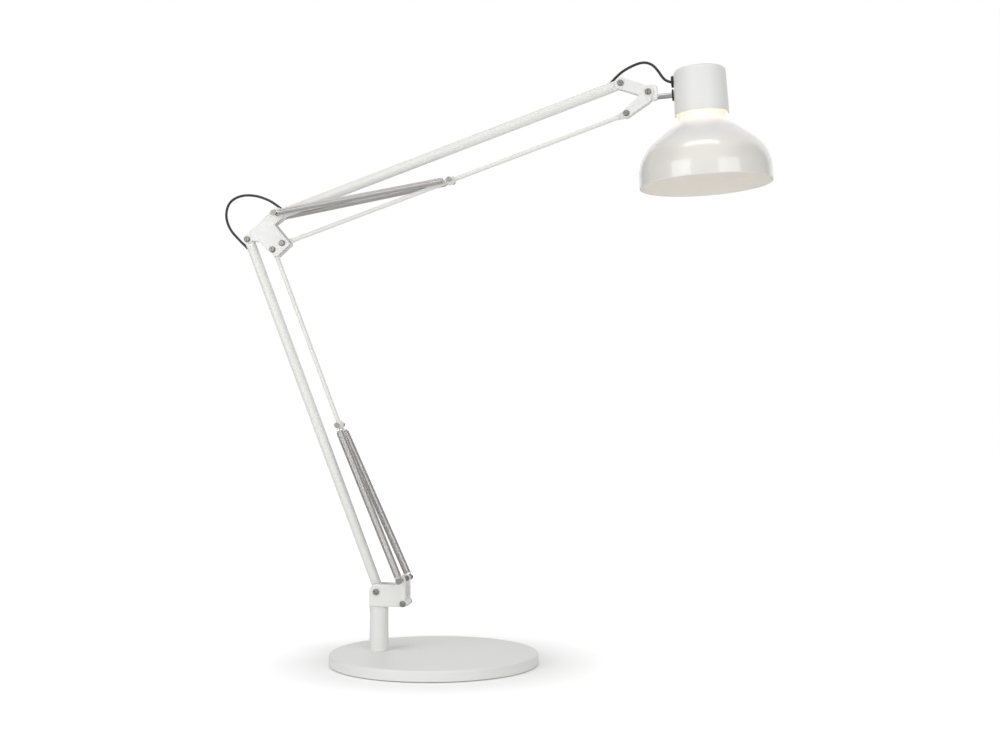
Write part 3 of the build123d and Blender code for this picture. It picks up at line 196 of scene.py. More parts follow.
# %% [markdown]
# The fittings in the tube ends, the hinge block and the lampholder are injection-moulded nylon. It is a
# colder white than the paint and lets a little light into itself, which softens its shadows. Spark-eroded
# moulds leave a fine even grain of about 0.3 mm.

# %% Mouldings
moulded_nylon, tree, shader = finish_named("moulded_nylon", "#F0F0EE", Roughness=0.48, IOR=1.53)
shader.inputs["Subsurface Weight"].default_value = 0.15
shader.inputs["Subsurface Radius"].default_value = (0.002, 0.002, 0.0018)
shader.inputs["Subsurface Scale"].default_value = 1.0
noise = grain(tree, shader, 0.3, 0.004)
vary(tree, noise, shader, "Roughness", 0.42, 0.54)

# %% [markdown]
# Four metals. Screws, nuts and pins are turned and zinc plated: a dull, slightly warm grey. The stud of the
# head is chromed and polished, so it shows its surroundings. Spring wire is drawn and bright, and what it
# mirrors makes its look: white from the front, and dark bands where it faces the sides of the studio. The
# screw cap of the bulb is plated with nickel, which is a little yellower.

# %% Metals
zinc_plated_steel, tree, shader = finish_named("zinc_plated_steel", "#8C8A84", Metallic=1.0, Roughness=0.45)
noise = grain(tree, shader, 0.5, 0.003, detail=4.0)
tint(tree, noise, shader, "#82807B", "#96948E")
vary(tree, noise, shader, "Roughness", 0.4, 0.52)

polished_chrome, tree, shader = finish_named("polished_chrome", "#A9AAAC", Metallic=1.0, Roughness=0.12)
noise = grain(tree, shader, 0.6, 0.001)
vary(tree, noise, shader, "Roughness", 0.08, 0.18)

spring_wire, tree, shader = finish_named("drawn_spring_wire", "#D2D0CE", Metallic=1.0, Roughness=0.3)
noise = grain(tree, shader, 0.35, 0.0008, detail=3.0)
tint(tree, noise, shader, "#CCCAC8", "#D8D6D4")
vary(tree, noise, shader, "Roughness", 0.26, 0.34)

nickel_cap, tree, shader = finish_named("nickel_plated_cap", "#B7B2A6", Metallic=1.0, Roughness=0.25)
noise = grain(tree, shader, 0.8, 0.003)
vary(tree, noise, shader, "Roughness", 0.2, 0.34)

# %% [markdown]
# The cord is extruded black PVC, smooth with a soft shine. Grommet and washer are moulded rubber and nearly
# dull. The pad under the base is pressed felt, whose matted fibres are about 0.2 mm apart.

# %% Cord, rubber and felt
pvc_cord, tree, shader = finish_named("extruded_pvc_cord", "#161616", Roughness=0.38, IOR=1.52)
noise = grain(tree, shader, 0.7, 0.004)
vary(tree, noise, shader, "Roughness", 0.33, 0.45)

moulded_rubber, tree, shader = finish_named("moulded_rubber", "#1B1B1B", Roughness=0.62)
noise = grain(tree, shader, 0.25, 0.006)
vary(tree, noise, shader, "Roughness", 0.55, 0.7)

pressed_felt, tree, shader = finish_named("pressed_felt", "#4A4A4A", Roughness=0.95)
shader.inputs["Sheen Weight"].default_value = 0.4
noise = grain(tree, shader, 0.2, 0.05, detail=6.0)
tint(tree, noise, shader, "#3C3C3C", "#565656")

# %% [markdown]
# The shade is blown glass with a white, slightly lilac body and a clear skin that mirrors the studio lamps.
# Light from the holder that wanders down inside the glass is painted: the glass emits a creamy white glow at
# its collar, most of the painted glow dies away within two centimetres, and a faint painted glow stays on the
# rest. The mesh carries how far each point lies below its seat, and the painted glow follows that, so it stays
# on the glass when the head turns. The bulb is frosted, and lit just enough to show that the lamp is on.

# %% Glass
GLASS_DEPTH = 85.8      # from the seat of the shade to its mouth, in mm
GLOW_FROM, GLOW_TO = 13.0, 29.0     # where the glow starts and has died away, in mm below the seat
blown_glass, tree, shader = finish_named("blown_opal_glass", "#E4E1E4", Roughness=0.3, IOR=1.5)
shader.inputs["Coat Weight"].default_value = 0.9
shader.inputs["Coat Roughness"].default_value = 0.05
shader.inputs["Transmission Weight"].default_value = 0.15
drop = add_node(tree, "ShaderNodeAttribute", attribute_name="drop_mm")
share = add_node(tree, "ShaderNodeMapRange", {"Value": drop.outputs["Fac"]}, From_Max=GLASS_DEPTH)
# The body colour is lightest and warmest at the seat, a painted glow, then a lilac grey that is darkest about a
# fifth of the way down and lightens towards the mouth.
body = add_node(tree, "ShaderNodeValToRGB", {"Fac": share.outputs["Result"]})
body.color_ramp.elements[0].color = linear("#EFEDE6")
body.color_ramp.elements[1].color = linear("#E0DEDA")
for place, colour in ((0.22, "#D2D0D6"), (0.4, "#D6D5D9"), (0.62, "#DEDBD7")):
    body.color_ramp.elements.new(place).color = linear(colour)
tree.links.new(body.outputs["Color"], shader.inputs["Base Color"])
# Painted glow: the glass emits light, creamy at the collar and nearly white lower down, strong down to
# GLOW_FROM below the seat and faint beyond GLOW_TO.
painted_glow_colour = add_node(tree, "ShaderNodeValToRGB", {"Fac": share.outputs["Result"]})
painted_glow_colour.color_ramp.elements[0].color = linear("#FFF1BE")
painted_glow_colour.color_ramp.elements[1].color = linear("#FFFDF6")
painted_glow_colour.color_ramp.elements.new(0.2).color = linear("#FFF6D8")
tree.links.new(painted_glow_colour.outputs["Color"], shader.inputs["Emission Color"])
painted_glow_strength = add_node(tree, "ShaderNodeMapRange", {"Value": drop.outputs["Fac"]}, interpolation_type="SMOOTHSTEP",
                From_Min=GLOW_FROM, From_Max=GLOW_TO, To_Min=0.42, To_Max=0.1)
tree.links.new(painted_glow_strength.outputs["Result"], shader.inputs["Emission Strength"])

frosted_bulb, tree, shader = finish_named("frosted_bulb_glass", "#FFF8EA", Roughness=0.5)
shader.inputs["Emission Color"].default_value = linear("#FFF6E6")
shader.inputs["Emission Strength"].default_value = 1.6
grain(tree, shader, 0.15, 0.003)
print(len(bpy.data.materials), "materials")


# %% [markdown]
# Cords first, as their room is the hardest to change. The black cord runs inside the tubes and comes out in
# two free loops, one over the elbow and one over the knuckle. A loop is one smooth NURBS line over the points
# of the CAD route. It is then cut into stretches where the CAD cuts it, between its bodies, and each stretch
# becomes a tube that follows the line. The stretches stay where they are made and ride on no body.

# %% Tubes along a line
def new_piece(name, mesh, material):
    """Links a finished mesh as an object with one material and smooth faces."""
    mesh.name = name
    mesh.materials.clear()
    mesh.materials.append(material)
    piece = bpy.data.objects.new(name, mesh)
    bpy.context.scene.collection.objects.link(piece)
    return piece


def from_bmesh(bm, sharp_degrees=None):
    """Mesh of a bmesh with smooth faces, and sharp edges above an angle."""
    mesh = bpy.data.meshes.new("made")
    bm.to_mesh(mesh)
    bm.free()
    mesh.polygons.foreach_set("use_smooth", [True] * len(mesh.polygons))
    if sharp_degrees:
        mesh.set_sharp_from_angle(angle=math.radians(sharp_degrees))
    return mesh


def tube_mesh(points, radius, sides=16):
    """Round wire along close points, with rounded ends; each ring follows the last one without twist."""
    bm = bmesh.new()
    ways = [(b - a).normalized() for a, b in zip(points, points[1:])]
    ways = [ways[0], *[(a + b).normalized() for a, b in zip(ways, ways[1:])], ways[-1]]
    side = ways[0].orthogonal().normalized()
    stations = [(points[0] - ways[0] * radius * 0.3, ways[0], 0.72), *zip(points, ways, [1.0] * len(points)),
                (points[-1] + ways[-1] * radius * 0.3, ways[-1], 0.72)]
    rings = []
    for point, way, share in stations:
        side = (side - way * side.dot(way)).normalized()
        up = way.cross(side)
        rings.append([bm.verts.new(point + (side * math.cos(a) + up * math.sin(a)) * radius * share)
                      for a in (2 * math.pi * i / sides for i in range(sides))])
    for first, second in zip(rings, rings[1:]):
        for i in range(sides):
            j = (i + 1) % sides
            bm.faces.new((first[i], first[j], second[j], second[i]))
    bm.faces.new(rings[0][::-1])
    bm.faces.new(rings[-1])
    bmesh.ops.recalc_face_normals(bm, faces=bm.faces)
    return bm


def line_through(name, points, steps=24):
    """Points of the smooth NURBS line that has these control points."""
    curve = bpy.data.curves.new(name, "CURVE")
    curve.dimensions = "3D"
    curve.resolution_u = steps
    spline = curve.splines.new("NURBS")
    spline.points.add(len(points) - 1)
    for place, point in zip(spline.points, points):
        place.co = (*point, 1.0)
    spline.order_u = 3
    spline.use_endpoint_u = True
    holder = bpy.data.objects.new(name, curve)
    bpy.context.scene.collection.objects.link(holder)
    line = bpy.data.meshes.new_from_object(holder.evaluated_get(bpy.context.evaluated_depsgraph_get()))
    found = [v.co.copy() for v in line.vertices]
    bpy.data.objects.remove(holder)
    return found


def length_of(points):
    """Length of a line through close points."""
    return sum((b - a).length for a, b in zip(points, points[1:]))


# %% The two free loops of cord
CORD_D = 3.0 * MM
ELBOW_CORD = [(-232.0, 485.8), (-243.5, 496.5), (-254.5, 509.0), (-259.5, 525.0), (-255.0, 541.0),
              (-240.0, 548.5), (-222.0, 548.0), (-206.0, 542.5), (-196.0, 536.5), (-188.8, 531.0)]
ELBOW_CUTS = [(-247.5, 544.75)]
HEAD_CORD = [(207.4, 662.7), (215.5, 671.5), (228.5, 679.0), (242.5, 683.6), (253.0, 680.3),
             (259.6, 672.6), (264.6, 664.6), (269.2, 660.4), (273.9, 659.0)]
HEAD_CUTS = [(235.5, 681.3), (256.3, 676.45)]


def stretches(name, route, cuts):
    """Stretches of the loop's line, cut where the CAD cuts it."""
    line = line_through(name, [at(x, z) for x, z in route])
    ends = [min(range(len(line)), key=lambda i: (line[i] - at(x, z)).length) for x, z in cuts]
    return [line[a:b + 1] for a, b in zip([0, *ends], [*ends, len(line) - 1])]


elbow_lines = stretches("elbow_loop_line", ELBOW_CORD, ELBOW_CUTS)
head_lines = stretches("head_loop_line", HEAD_CORD, HEAD_CUTS)
for name, node, line, bodies in (
        ("cord_elbow_lower", "elbow_cord_lower", elbow_lines[0], ("lower_arm", "elbow")),
        ("cord_elbow_upper", "elbow_cord_upper", elbow_lines[1], ("elbow", "upper_arm")),
        ("cord_head_rear", "head_cord_rear", head_lines[0], ("upper_arm", "knuckle")),
        ("cord_head_middle", "head_cord_mid", head_lines[1], ("knuckle", "head_tilt")),
        ("cord_head_front", "head_cord_front", head_lines[2], ("head_tilt", "head"))):
    cord = new_piece(name, from_bmesh(tube_mesh(line, CORD_D / 2)), pvc_cord)
    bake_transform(cord)
    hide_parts(node)
    print(name, "length, mm:", round(length_of(line) / MM, 1))

# %% [markdown]
# Turned parts come next: the base, the post, the neck, the bulb and the glass are all profiles spun about an
# axis. One lathe function places the profile in a frame, so that parts of the head can be spun about its
# tilted axis. Edges that the press or the lathe leaves round are arcs in the profile, which catches a line of
# light.

# %% Lathe
def lathe(profile, place=Matrix.Identity(4), segments=128, closed=True):
    """Solid of turning: profile points are (radius, height) in mm, spun about the z axis of a frame."""
    bm = bmesh.new()
    rings = []
    for radius, height in profile:
        if radius < 1e-6:
            rings.append([bm.verts.new(place @ at(0.0, height))])
        else:
            turn = 2 * math.pi / segments
            rings.append([bm.verts.new(place @ at(radius * math.cos(turn * i), height,
                                                  radius * math.sin(turn * i))) for i in range(segments)])
    pairs = list(zip(rings, rings[1:]))
    if closed:
        pairs.append((rings[-1], rings[0]))
    for first, second in pairs:
        for i in range(segments):
            j = (i + 1) % segments
            corners = [first[i % len(first)], first[j % len(first)], second[j % len(second)],
                       second[i % len(second)]]
            corners = list(dict.fromkeys(corners))
            if len(corners) > 2:
                bm.faces.new(corners)
    bmesh.ops.recalc_face_normals(bm, faces=bm.faces)
    return bm


def arc(cx, cy, radius, start, end, steps=8):
    """Points of an arc in a profile, angles in degrees from the outward direction."""
    return [(cx + radius * math.cos(math.radians(start + (end - start) * i / steps)),
             cy + radius * math.sin(math.radians(start + (end - start) * i / steps))) for i in range(steps + 1)]


HEAD_PLACE = Matrix.Translation(head_origin) @ Matrix.Rotation(math.radians(-HEAD_TILT), 4, "Y")
POST_PLACE = Matrix.Translation(at(-66.0, 0.0))

# %% Base, pad, post and its bush
BASE_R, BASE_TOP, BASE_EDGE, PAD_R, PAD_TOP = 120.0, 13.0, 2.0, 116.0, 1.0
POST_OUT, POST_IN, POST_TOP = 11.0, 9.0, 63.0
BUSH_IN, BUSH_FOOT, BUSH_TOP, BUSH_FIT = 5.05, 38.0, 64.2, 0.05

base = new_piece("base_disc", from_bmesh(lathe(
    [(0, PAD_TOP), (BASE_R - 0.5, PAD_TOP), (BASE_R, PAD_TOP + 0.5),
     *arc(BASE_R - BASE_EDGE, BASE_TOP - BASE_EDGE, BASE_EDGE, 0, 90, 8), (0, BASE_TOP)], segments=192), 35),
    coated_steel)
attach(base, "base")
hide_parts("base_plate")

pad = new_piece("felt_pad", from_bmesh(lathe(
    [(0, 0), (PAD_R - 0.6, 0), (PAD_R, 0.3), (PAD_R, PAD_TOP - 0.01), (0, PAD_TOP - 0.01)], segments=160), 35),
    pressed_felt)
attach(pad, "base")
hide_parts("base_pad")

post = new_piece("post", from_bmesh(lathe(
    [(POST_IN, BASE_TOP + 0.4), (POST_IN, POST_TOP - 0.4), (POST_IN + 0.4, POST_TOP),
     (POST_OUT - 0.3, POST_TOP), (POST_OUT, POST_TOP - 0.3), (POST_OUT, BASE_TOP + 0.3),
     (POST_OUT - 0.3, BASE_TOP), (POST_IN + 0.4, BASE_TOP)],
    POST_PLACE, 96), 40), coated_steel)
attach(post, "base")
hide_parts("post_tube")

bush = new_piece("swivel_bush", from_bmesh(lathe(
    [(BUSH_IN, BUSH_FOOT), (BUSH_IN, BUSH_TOP), (POST_OUT - 0.4, BUSH_TOP),
     (POST_OUT - BUSH_FIT, BUSH_TOP - 0.3), (POST_OUT - BUSH_FIT, POST_TOP + BUSH_FIT),
     (POST_IN - BUSH_FIT, POST_TOP + BUSH_FIT), (POST_IN - BUSH_FIT, BUSH_FOOT)],
    POST_PLACE, 96), 40), moulded_nylon)
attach(bush, "base")
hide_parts("post_bush")

# %% [markdown]
# The neck is a spun steel cup that hides the lampholder. It is a lathe profile too, but two holes are drilled
# through its wall for the stud and the cord, so the turned mesh is cut with two rods by a boolean.

# %% Boolean helper and the neck
def cut(piece, tool_bm, operation="DIFFERENCE", sharp_degrees=None):
    """Applies one boolean to a piece's mesh; the tool is thrown away."""
    tool = bpy.data.objects.new("tool", from_bmesh(tool_bm))
    bpy.context.scene.collection.objects.link(tool)
    step = piece.modifiers.new("cut", "BOOLEAN")
    step.object, step.operation, step.solver = tool, operation, "EXACT"
    result = bpy.data.meshes.new_from_object(piece.evaluated_get(bpy.context.evaluated_depsgraph_get()))
    piece.modifiers.clear()
    result.name = piece.data.name
    piece.data = result
    bpy.data.objects.remove(tool)
    if sharp_degrees:
        result.set_sharp_from_angle(angle=math.radians(sharp_degrees))
    return piece


def rod_across(start, end, radius):
    """Plain rod between two points, as a cutting tool."""
    return tube_mesh([start, end], radius, sides=32)


def in_head(x, height):
    """A point of the head, in mm from its origin, along the stud and up the tilted axis."""
    return HEAD_PLACE @ at(x, height)


NECK_TOP, NECK_FOOT, GLASS_SEAT = 26.3, -25.0, -18.9
NECK_R, NECK_WALL, SHOULDER_X, SHOULDER_R = 30.3, 1.2, 24.1, 5.0
STUD_HOLE_R, CORD_HOLE_R, CORD_HOLE_UP = 3.1, 4.1, 15.1
shoulder_z = NECK_TOP - SHOULDER_R
neck_profile = [(0, NECK_TOP), *arc(SHOULDER_X, shoulder_z, SHOULDER_R, 84, 4, 10), (NECK_R, NECK_FOOT + 0.3),
                (NECK_R - 0.3, NECK_FOOT), (NECK_R - NECK_WALL + 0.3, NECK_FOOT),
                (NECK_R - NECK_WALL, NECK_FOOT + 0.3),
                *arc(SHOULDER_X, shoulder_z, SHOULDER_R - NECK_WALL, 4, 84, 8), (0, NECK_TOP - NECK_WALL)]
neck = new_piece("neck_cup", from_bmesh(lathe(neck_profile, HEAD_PLACE, 128, closed=False), 40),
                 coated_steel)
cut(neck, rod_across(in_head(-34, 0), in_head(-20, 0), STUD_HOLE_R * MM))
cut(neck, rod_across(in_head(-34, CORD_HOLE_UP), in_head(-20, CORD_HOLE_UP), CORD_HOLE_R * MM),
    sharp_degrees=40)
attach(neck, "head")
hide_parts("neck_cover")
print("neck faces:", len(neck.data.polygons))

# %% [markdown]
# The shade's flank is a throat, a straight flare and a dome, joined without a crease. The same curve moved in
# by the wall gives the inside. The edge at the mouth is fire polished, which leaves it fully round. Each
# point also keeps its drop below the seat in millimetres, which the glass material reads.

# %% Glass shade
WALL, COLLAR_R, COLLAR_FOOT, THROAT_R, DOME_R = 3.0, 28.6, 6.3, 17.0, 45.0
RIM_R, FLARE = 74.2, 52.0


def flank(inset, steps=18):
    """Flank of the bell from the collar to the mouth as (radius, drop below the seat of the glass)."""
    slope = math.radians(FLARE)
    throat_x, dome_x = COLLAR_R + THROAT_R, RIM_R - DOME_R
    run = dome_x + DOME_R * math.cos(slope) - throat_x + THROAT_R * math.cos(slope)
    dome_drop = COLLAR_FOOT + (THROAT_R + DOME_R) * math.sin(slope) + run / math.tan(slope)
    throat = [(throat_x - (THROAT_R + inset) * math.cos(a), COLLAR_FOOT + (THROAT_R + inset) * math.sin(a))
              for a in (slope * i / steps for i in range(steps + 1))]
    dome = [(dome_x + (DOME_R - inset) * math.cos(a), dome_drop - (DOME_R - inset) * math.sin(a))
            for a in (slope * (1 - i / (2 * steps)) for i in range(2 * steps + 1))]
    return [*throat, *dome]


outside, inside = flank(0.0), flank(WALL)
mouth = [(RIM_R - WALL / 2 + x, GLASS_DEPTH - WALL / 2 - y) for x, y in arc(0, 0, WALL / 2, 0, -180, 10)]
shade_points = [(20.5, 0.3), *[(COLLAR_R - 1.2 + x, 1.5 - y) for x, y in arc(0, 0, 1.2, 90, 0, 6)], *outside,
                *mouth, *inside[::-1], (COLLAR_R - WALL, 0.3 + WALL), (20.5, 0.3 + WALL)]
shade_bm = lathe([(r, GLASS_SEAT - d) for r, d in shade_points], HEAD_PLACE, 160)
shade = new_piece("glass_bell", from_bmesh(shade_bm, 50), blown_glass)
to_head = HEAD_PLACE.inverted()
drops = shade.data.attributes.new("drop_mm", "FLOAT", "POINT")
drops.data.foreach_set("value", [GLASS_SEAT - (to_head @ v.co).z / MM for v in shade.data.vertices])
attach(shade, "head")
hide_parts("glass_shade")
print("shade points:", len(shade.data.vertices))

# %% [markdown]
# Inside the mouth one sees the lampholder, the ring that clamps the glass and a small globe bulb with its
# screw cap. The ring is knurled for fingers. A knurl is a thing that repeats, so Geometry Nodes place it:
# points on a circle, one rib on each, then everything is made real and given its material.

# %% A node tree that sets copies on points
def tree_named(name, sockets):
    """A geometry tree with named inputs and one geometry output."""
    made = bpy.data.node_groups.new(name, "GeometryNodeTree")
    for label, kind, value in sockets:
        socket = made.interface.new_socket(label, in_out="INPUT", socket_type=kind)
        if value is not None:
            socket.default_value = value
    made.interface.new_socket("Geometry", in_out="OUTPUT", socket_type="NodeSocketGeometry")
    return made, made.nodes.new("NodeGroupInput"), made.nodes.new("NodeGroupOutput")


def run_tree(name, made, values):
    """Runs a tree on an empty mesh and returns the plain mesh that comes out."""
    holder = bpy.data.objects.new(name, bpy.data.meshes.new(name))
    bpy.context.scene.collection.objects.link(holder)
    step = holder.modifiers.new("tree", "NODES")
    step.node_group = made
    for item in made.interface.items_tree:
        if item.in_out == "INPUT" and item.name in values:
            step[item.identifier] = values[item.name]
    mesh = bpy.data.meshes.new_from_object(holder.evaluated_get(bpy.context.evaluated_depsgraph_get()))
    bpy.data.objects.remove(holder)
    return mesh


ribs_tree, given, out = tree_named("ribs_on_a_ring", [
    ("Count", "NodeSocketInt", 60), ("Radius", "NodeSocketFloat", 0.026),
    ("Rib Radius", "NodeSocketFloat", 0.0006), ("Rib Height", "NodeSocketFloat", 0.004),
    ("Material", "NodeSocketMaterial", None)])
circle = add_node(ribs_tree, "GeometryNodeMeshCircle",
                  {"Vertices": given.outputs["Count"], "Radius": given.outputs["Radius"]})
rib = add_node(ribs_tree, "GeometryNodeMeshCylinder",
               {"Radius": given.outputs["Rib Radius"], "Depth": given.outputs["Rib Height"]}, Vertices=8)
placed = add_node(ribs_tree, "GeometryNodeInstanceOnPoints",
                  {"Points": circle.outputs["Mesh"], "Instance": rib.outputs["Mesh"]})
real = add_node(ribs_tree, "GeometryNodeRealizeInstances", {"Geometry": placed.outputs["Instances"]})
finished = add_node(ribs_tree, "GeometryNodeSetMaterial",
                    {"Geometry": real.outputs["Geometry"], "Material": given.outputs["Material"]})
ribs_tree.links.new(finished.outputs["Geometry"], out.inputs["Geometry"])

# %% Lampholder, clamping ring and bulb
HOLDER_R, HOLDER_TOP, HOLDER_FOOT, NIPPLE_R = 19.8, 12.0, -28.9, 5.05
SKIRT_R, SKIRT_TOP, SKIRT_FOOT = 25.5, -17.2, -19.2
SOCKET_R, SOCKET_TOP = 13.6, -3.9
holder = new_piece("lampholder_body", from_bmesh(lathe(
    [(NIPPLE_R, HOLDER_TOP - 5.0), (NIPPLE_R, HOLDER_TOP), (HOLDER_R - 1.0, HOLDER_TOP),
     (HOLDER_R, HOLDER_TOP - 1.0), (HOLDER_R, SKIRT_TOP), (SKIRT_R - 0.4, SKIRT_TOP),
     (SKIRT_R, SKIRT_TOP - 0.4), (SKIRT_R, SKIRT_FOOT + 0.4), (SKIRT_R - 0.4, SKIRT_FOOT),
     (HOLDER_R, SKIRT_FOOT), (HOLDER_R, HOLDER_FOOT + 0.4),
     (HOLDER_R - 0.4, HOLDER_FOOT), (SOCKET_R + 0.4, HOLDER_FOOT), (SOCKET_R, HOLDER_FOOT + 0.4),
     (SOCKET_R, SOCKET_TOP), (NIPPLE_R + 0.45, SOCKET_TOP), (NIPPLE_R, SOCKET_TOP + 0.4)],
    HEAD_PLACE, 96), 40), moulded_nylon)
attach(holder, "head")
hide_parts("lampholder")

RING_IN, RING_OUT, RING_TOP, RING_FOOT = 19.95, 24.4, -22.3, -27.3
ring_bm = lathe([(RING_IN, RING_TOP), (RING_OUT - 0.3, RING_TOP), (RING_OUT, RING_TOP - 0.4),
                 (RING_OUT, RING_FOOT + 0.4), (RING_OUT - 0.4, RING_FOOT), (RING_IN + 0.35, RING_FOOT),
                 (RING_IN, RING_FOOT + 0.4)], HEAD_PLACE, 96)
ribs = run_tree("ring_ribs", ribs_tree, {"Count": 60, "Radius": RING_OUT * MM, "Rib Radius": 0.62 * MM,
                                        "Rib Height": 3.8 * MM, "Material": moulded_nylon})
ribs.transform(HEAD_PLACE @ Matrix.Translation(at(0, (RING_TOP + RING_FOOT) / 2)))
ring_bm.from_mesh(ribs)
ring = new_piece("knurled_ring", from_bmesh(ring_bm, 40), moulded_nylon)
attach(ring, "head")
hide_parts("shade_ring")

BULB_R, BULB_FOOT, BULB_NECK_R, BULB_TOP = 22.5, -77.9, 12.0, -31.2
bulb_centre = BULB_FOOT + BULB_R
neck_angle = math.degrees(math.acos(BULB_NECK_R / BULB_R))
bulb_bm = lathe([(0, BULB_FOOT), *arc(0, bulb_centre, BULB_R, -86, neck_angle, 32), (BULB_NECK_R, BULB_TOP),
                 (0, BULB_TOP + 0.1)], HEAD_PLACE, 96, closed=False)
bulb = new_piece("globe_bulb", from_bmesh(bulb_bm, 60), frosted_bulb)
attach(bulb, "head")

CAP_FOOT, CAP_R, CREST_R, CAP_PITCH = -30.8, 12.5, 13.15, 3.0
screw_profile = [(0, CAP_FOOT), (CAP_R + 0.1, CAP_FOOT)]
for turn in range(6):
    foot = CAP_FOOT + 1.2 + turn * CAP_PITCH
    screw_profile += [(CAP_R, foot), (CREST_R, foot + 1.0), (CREST_R, foot + 1.5), (CAP_R, foot + 2.6)]
screw_profile += [(11.0, -9.2), (4.5, -8.9), (4.4, -7.0), (0, -6.95)]
bulb_cap = new_piece("bulb_cap", from_bmesh(lathe(screw_profile, HEAD_PLACE, 64, closed=False), 50),
                     nickel_cap)
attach(bulb_cap, "head")
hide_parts("bulb")
print("bulb centre below the neck, mm:", round(NECK_FOOT - bulb_centre, 1))

# %% [markdown]
# Sheet and moulded parts already have the right outline in the CAD model, but their edges are razor sharp and
# their round faces are made of flats. Each one is copied, its loose triangles are merged and flat areas are
# cleaned. Only the sheet parts have their edges rounded a little, as tumbling or paint leaves them. A rounded
# edge catches light, and that thin line is much of what makes sheet steel look real.

# %% Rounded copies of CAD nodes
WELD_MM, FLAT_DEGREES, EDGE_DEGREES = 0.002, 0.6, 35.0
SLICE = 8.0     # long thin triangles are sliced into pieces of this length, in mm


def rounded(node, name, material, edge_mm, body):
    """Copy of a CAD node with merged triangles and rounded edges, riding where the node rides."""
    bm = bmesh.new()
    bm.from_mesh(frame["nodes"][node].data)
    bmesh.ops.remove_doubles(bm, verts=bm.verts, dist=WELD_MM * MM)
    bmesh.ops.dissolve_limit(bm, angle_limit=math.radians(FLAT_DEGREES), verts=bm.verts, edges=bm.edges)
    if edge_mm:
        sharp = math.radians(EDGE_DEGREES)
        edges = [e for e in bm.edges if len(e.link_faces) == 2 and e.calc_face_angle() > sharp]
        bmesh.ops.bevel(bm, geom=edges, offset=edge_mm * MM, offset_type="OFFSET", segments=2,
                        profile=0.5, affect="EDGES", clamp_overlap=True)
    bmesh.ops.triangulate(bm, faces=bm.faces)
    for axis in (0, 2):
        way = Vector((1, 0, 0)) if axis == 0 else Vector((0, 0, 1))
        places = [v.co[axis] for v in bm.verts]
        for i in range(1, math.ceil((max(places) - min(places)) / (SLICE * MM))):
            bmesh.ops.bisect_plane(bm, geom=[*bm.verts, *bm.edges, *bm.faces], dist=1e-8,
                                   plane_co=way * (min(places) + i * SLICE * MM), plane_no=way)
    piece = new_piece(name, from_bmesh(bm, 30), material)
    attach(piece, body)
    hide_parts(node)
    return piece


SHEET_EDGE = 0.25   # radius of the rounded edges of sheet parts, in mm
for node, name, body in (
        ("bracket_channel", "bracket", "bracket"),
        ("elbow_plate_front", "elbow_cheek_front", "elbow"), ("elbow_plate_rear", "elbow_cheek_rear", "elbow"),
        ("knuckle_plate_front", "knuckle_cheek_front", "knuckle"),
        ("knuckle_plate_rear", "knuckle_cheek_rear", "knuckle")):
    piece = rounded(node, name, coated_steel, SHEET_EDGE, body)
    print(name, "faces:", len(piece.data.polygons))
for node, name, body in (
        ("lower_arm_tube", "lower_tube", "lower_arm"), ("upper_arm_tube", "upper_tube", "upper_arm"),
        ("lower_rod", "lower_tie_rod", "lower_rod"), ("upper_rod", "upper_tie_rod", "upper_rod"),
        ("lower_rod_collar", "lower_collar", "lower_rod"), ("upper_rod_collar", "upper_collar", "upper_rod")):
    rounded(node, name, coated_tube, 0.0, body)

for node, name, body in (
        ("lower_arm_bottom_fitting", "lower_tube_foot", "lower_arm"),
        ("lower_arm_top_fitting", "lower_tube_head", "lower_arm"),
        ("upper_arm_back_fitting", "upper_tube_tail", "upper_arm"),
        ("upper_arm_front_fitting", "upper_tube_nose", "upper_arm"),
        ("hinge_block", "tilt_block", "head_tilt")):
    rounded(node, name, moulded_nylon, 0.0, body)
for node, name, body in (
        ("cable_grommet", "grommet", "head"), ("stud_washer", "rubber_washer", "head_tilt")):
    rounded(node, name, moulded_rubber, 0.0, body)
rounded("head_stud", "tilt_stud", polished_chrome, 0.0, "head_tilt")

# %% [markdown]
# Eight screws differ only in length, so one is made for each pair of plates and Geometry Nodes set a copy at
# each pivot. The head is a turned dome with a sawn slot. No two screws stop at the same angle, so each copy
# is turned about its axis by a random amount with a fixed seed.

# %% One screw and one nut
SCREW_D, HEAD_D, HEAD_H = 4.0, 7.0, 2.5
NUT_H, NUT_ACROSS, NUT_BORE_R, NUT_CORNER_R = 3.2, 7.0, 2.05, 4.2
THREAD_R, THREAD_ROOT_R, THREAD_PITCH, THREAD_LENGTH = 1.98, 1.72, 0.7, 4.6


def screw_mesh(half_width):
    """Slotted screw along +Y from the front face of a pair of plates, with a cut thread at its tail."""
    tail = 2 * half_width + NUT_H + 1.0
    head = [(0, -HEAD_H), (2.2, -HEAD_H), *arc(2.3, -1.3, 1.2, -90, 0, 6), (HEAD_D / 2, 0), (SCREW_D / 2, 0)]
    thread, y = [], tail - THREAD_LENGTH
    while y < tail - 0.5:
        thread += [(THREAD_R, y), (THREAD_R, y + 0.1), (THREAD_ROOT_R, y + 0.35), (THREAD_R, y + 0.6)]
        y += THREAD_PITCH
    aim = Matrix.Rotation(math.radians(-90), 4, "X")
    screw = new_piece("screw", from_bmesh(lathe([*head, (2.0, 0.2), *thread, (1.6, tail), (0, tail)], aim, 32,
                                                closed=False), 35), zinc_plated_steel)
    slot = bmesh.new()
    bmesh.ops.create_cube(slot, size=1.0, matrix=Matrix.Translation(at(0, 0, -HEAD_H)) @ Matrix.Diagonal(
        (9 * MM, 2 * MM, 1.0 * MM, 1.0)))
    cut(screw, slot, sharp_degrees=35)
    return screw


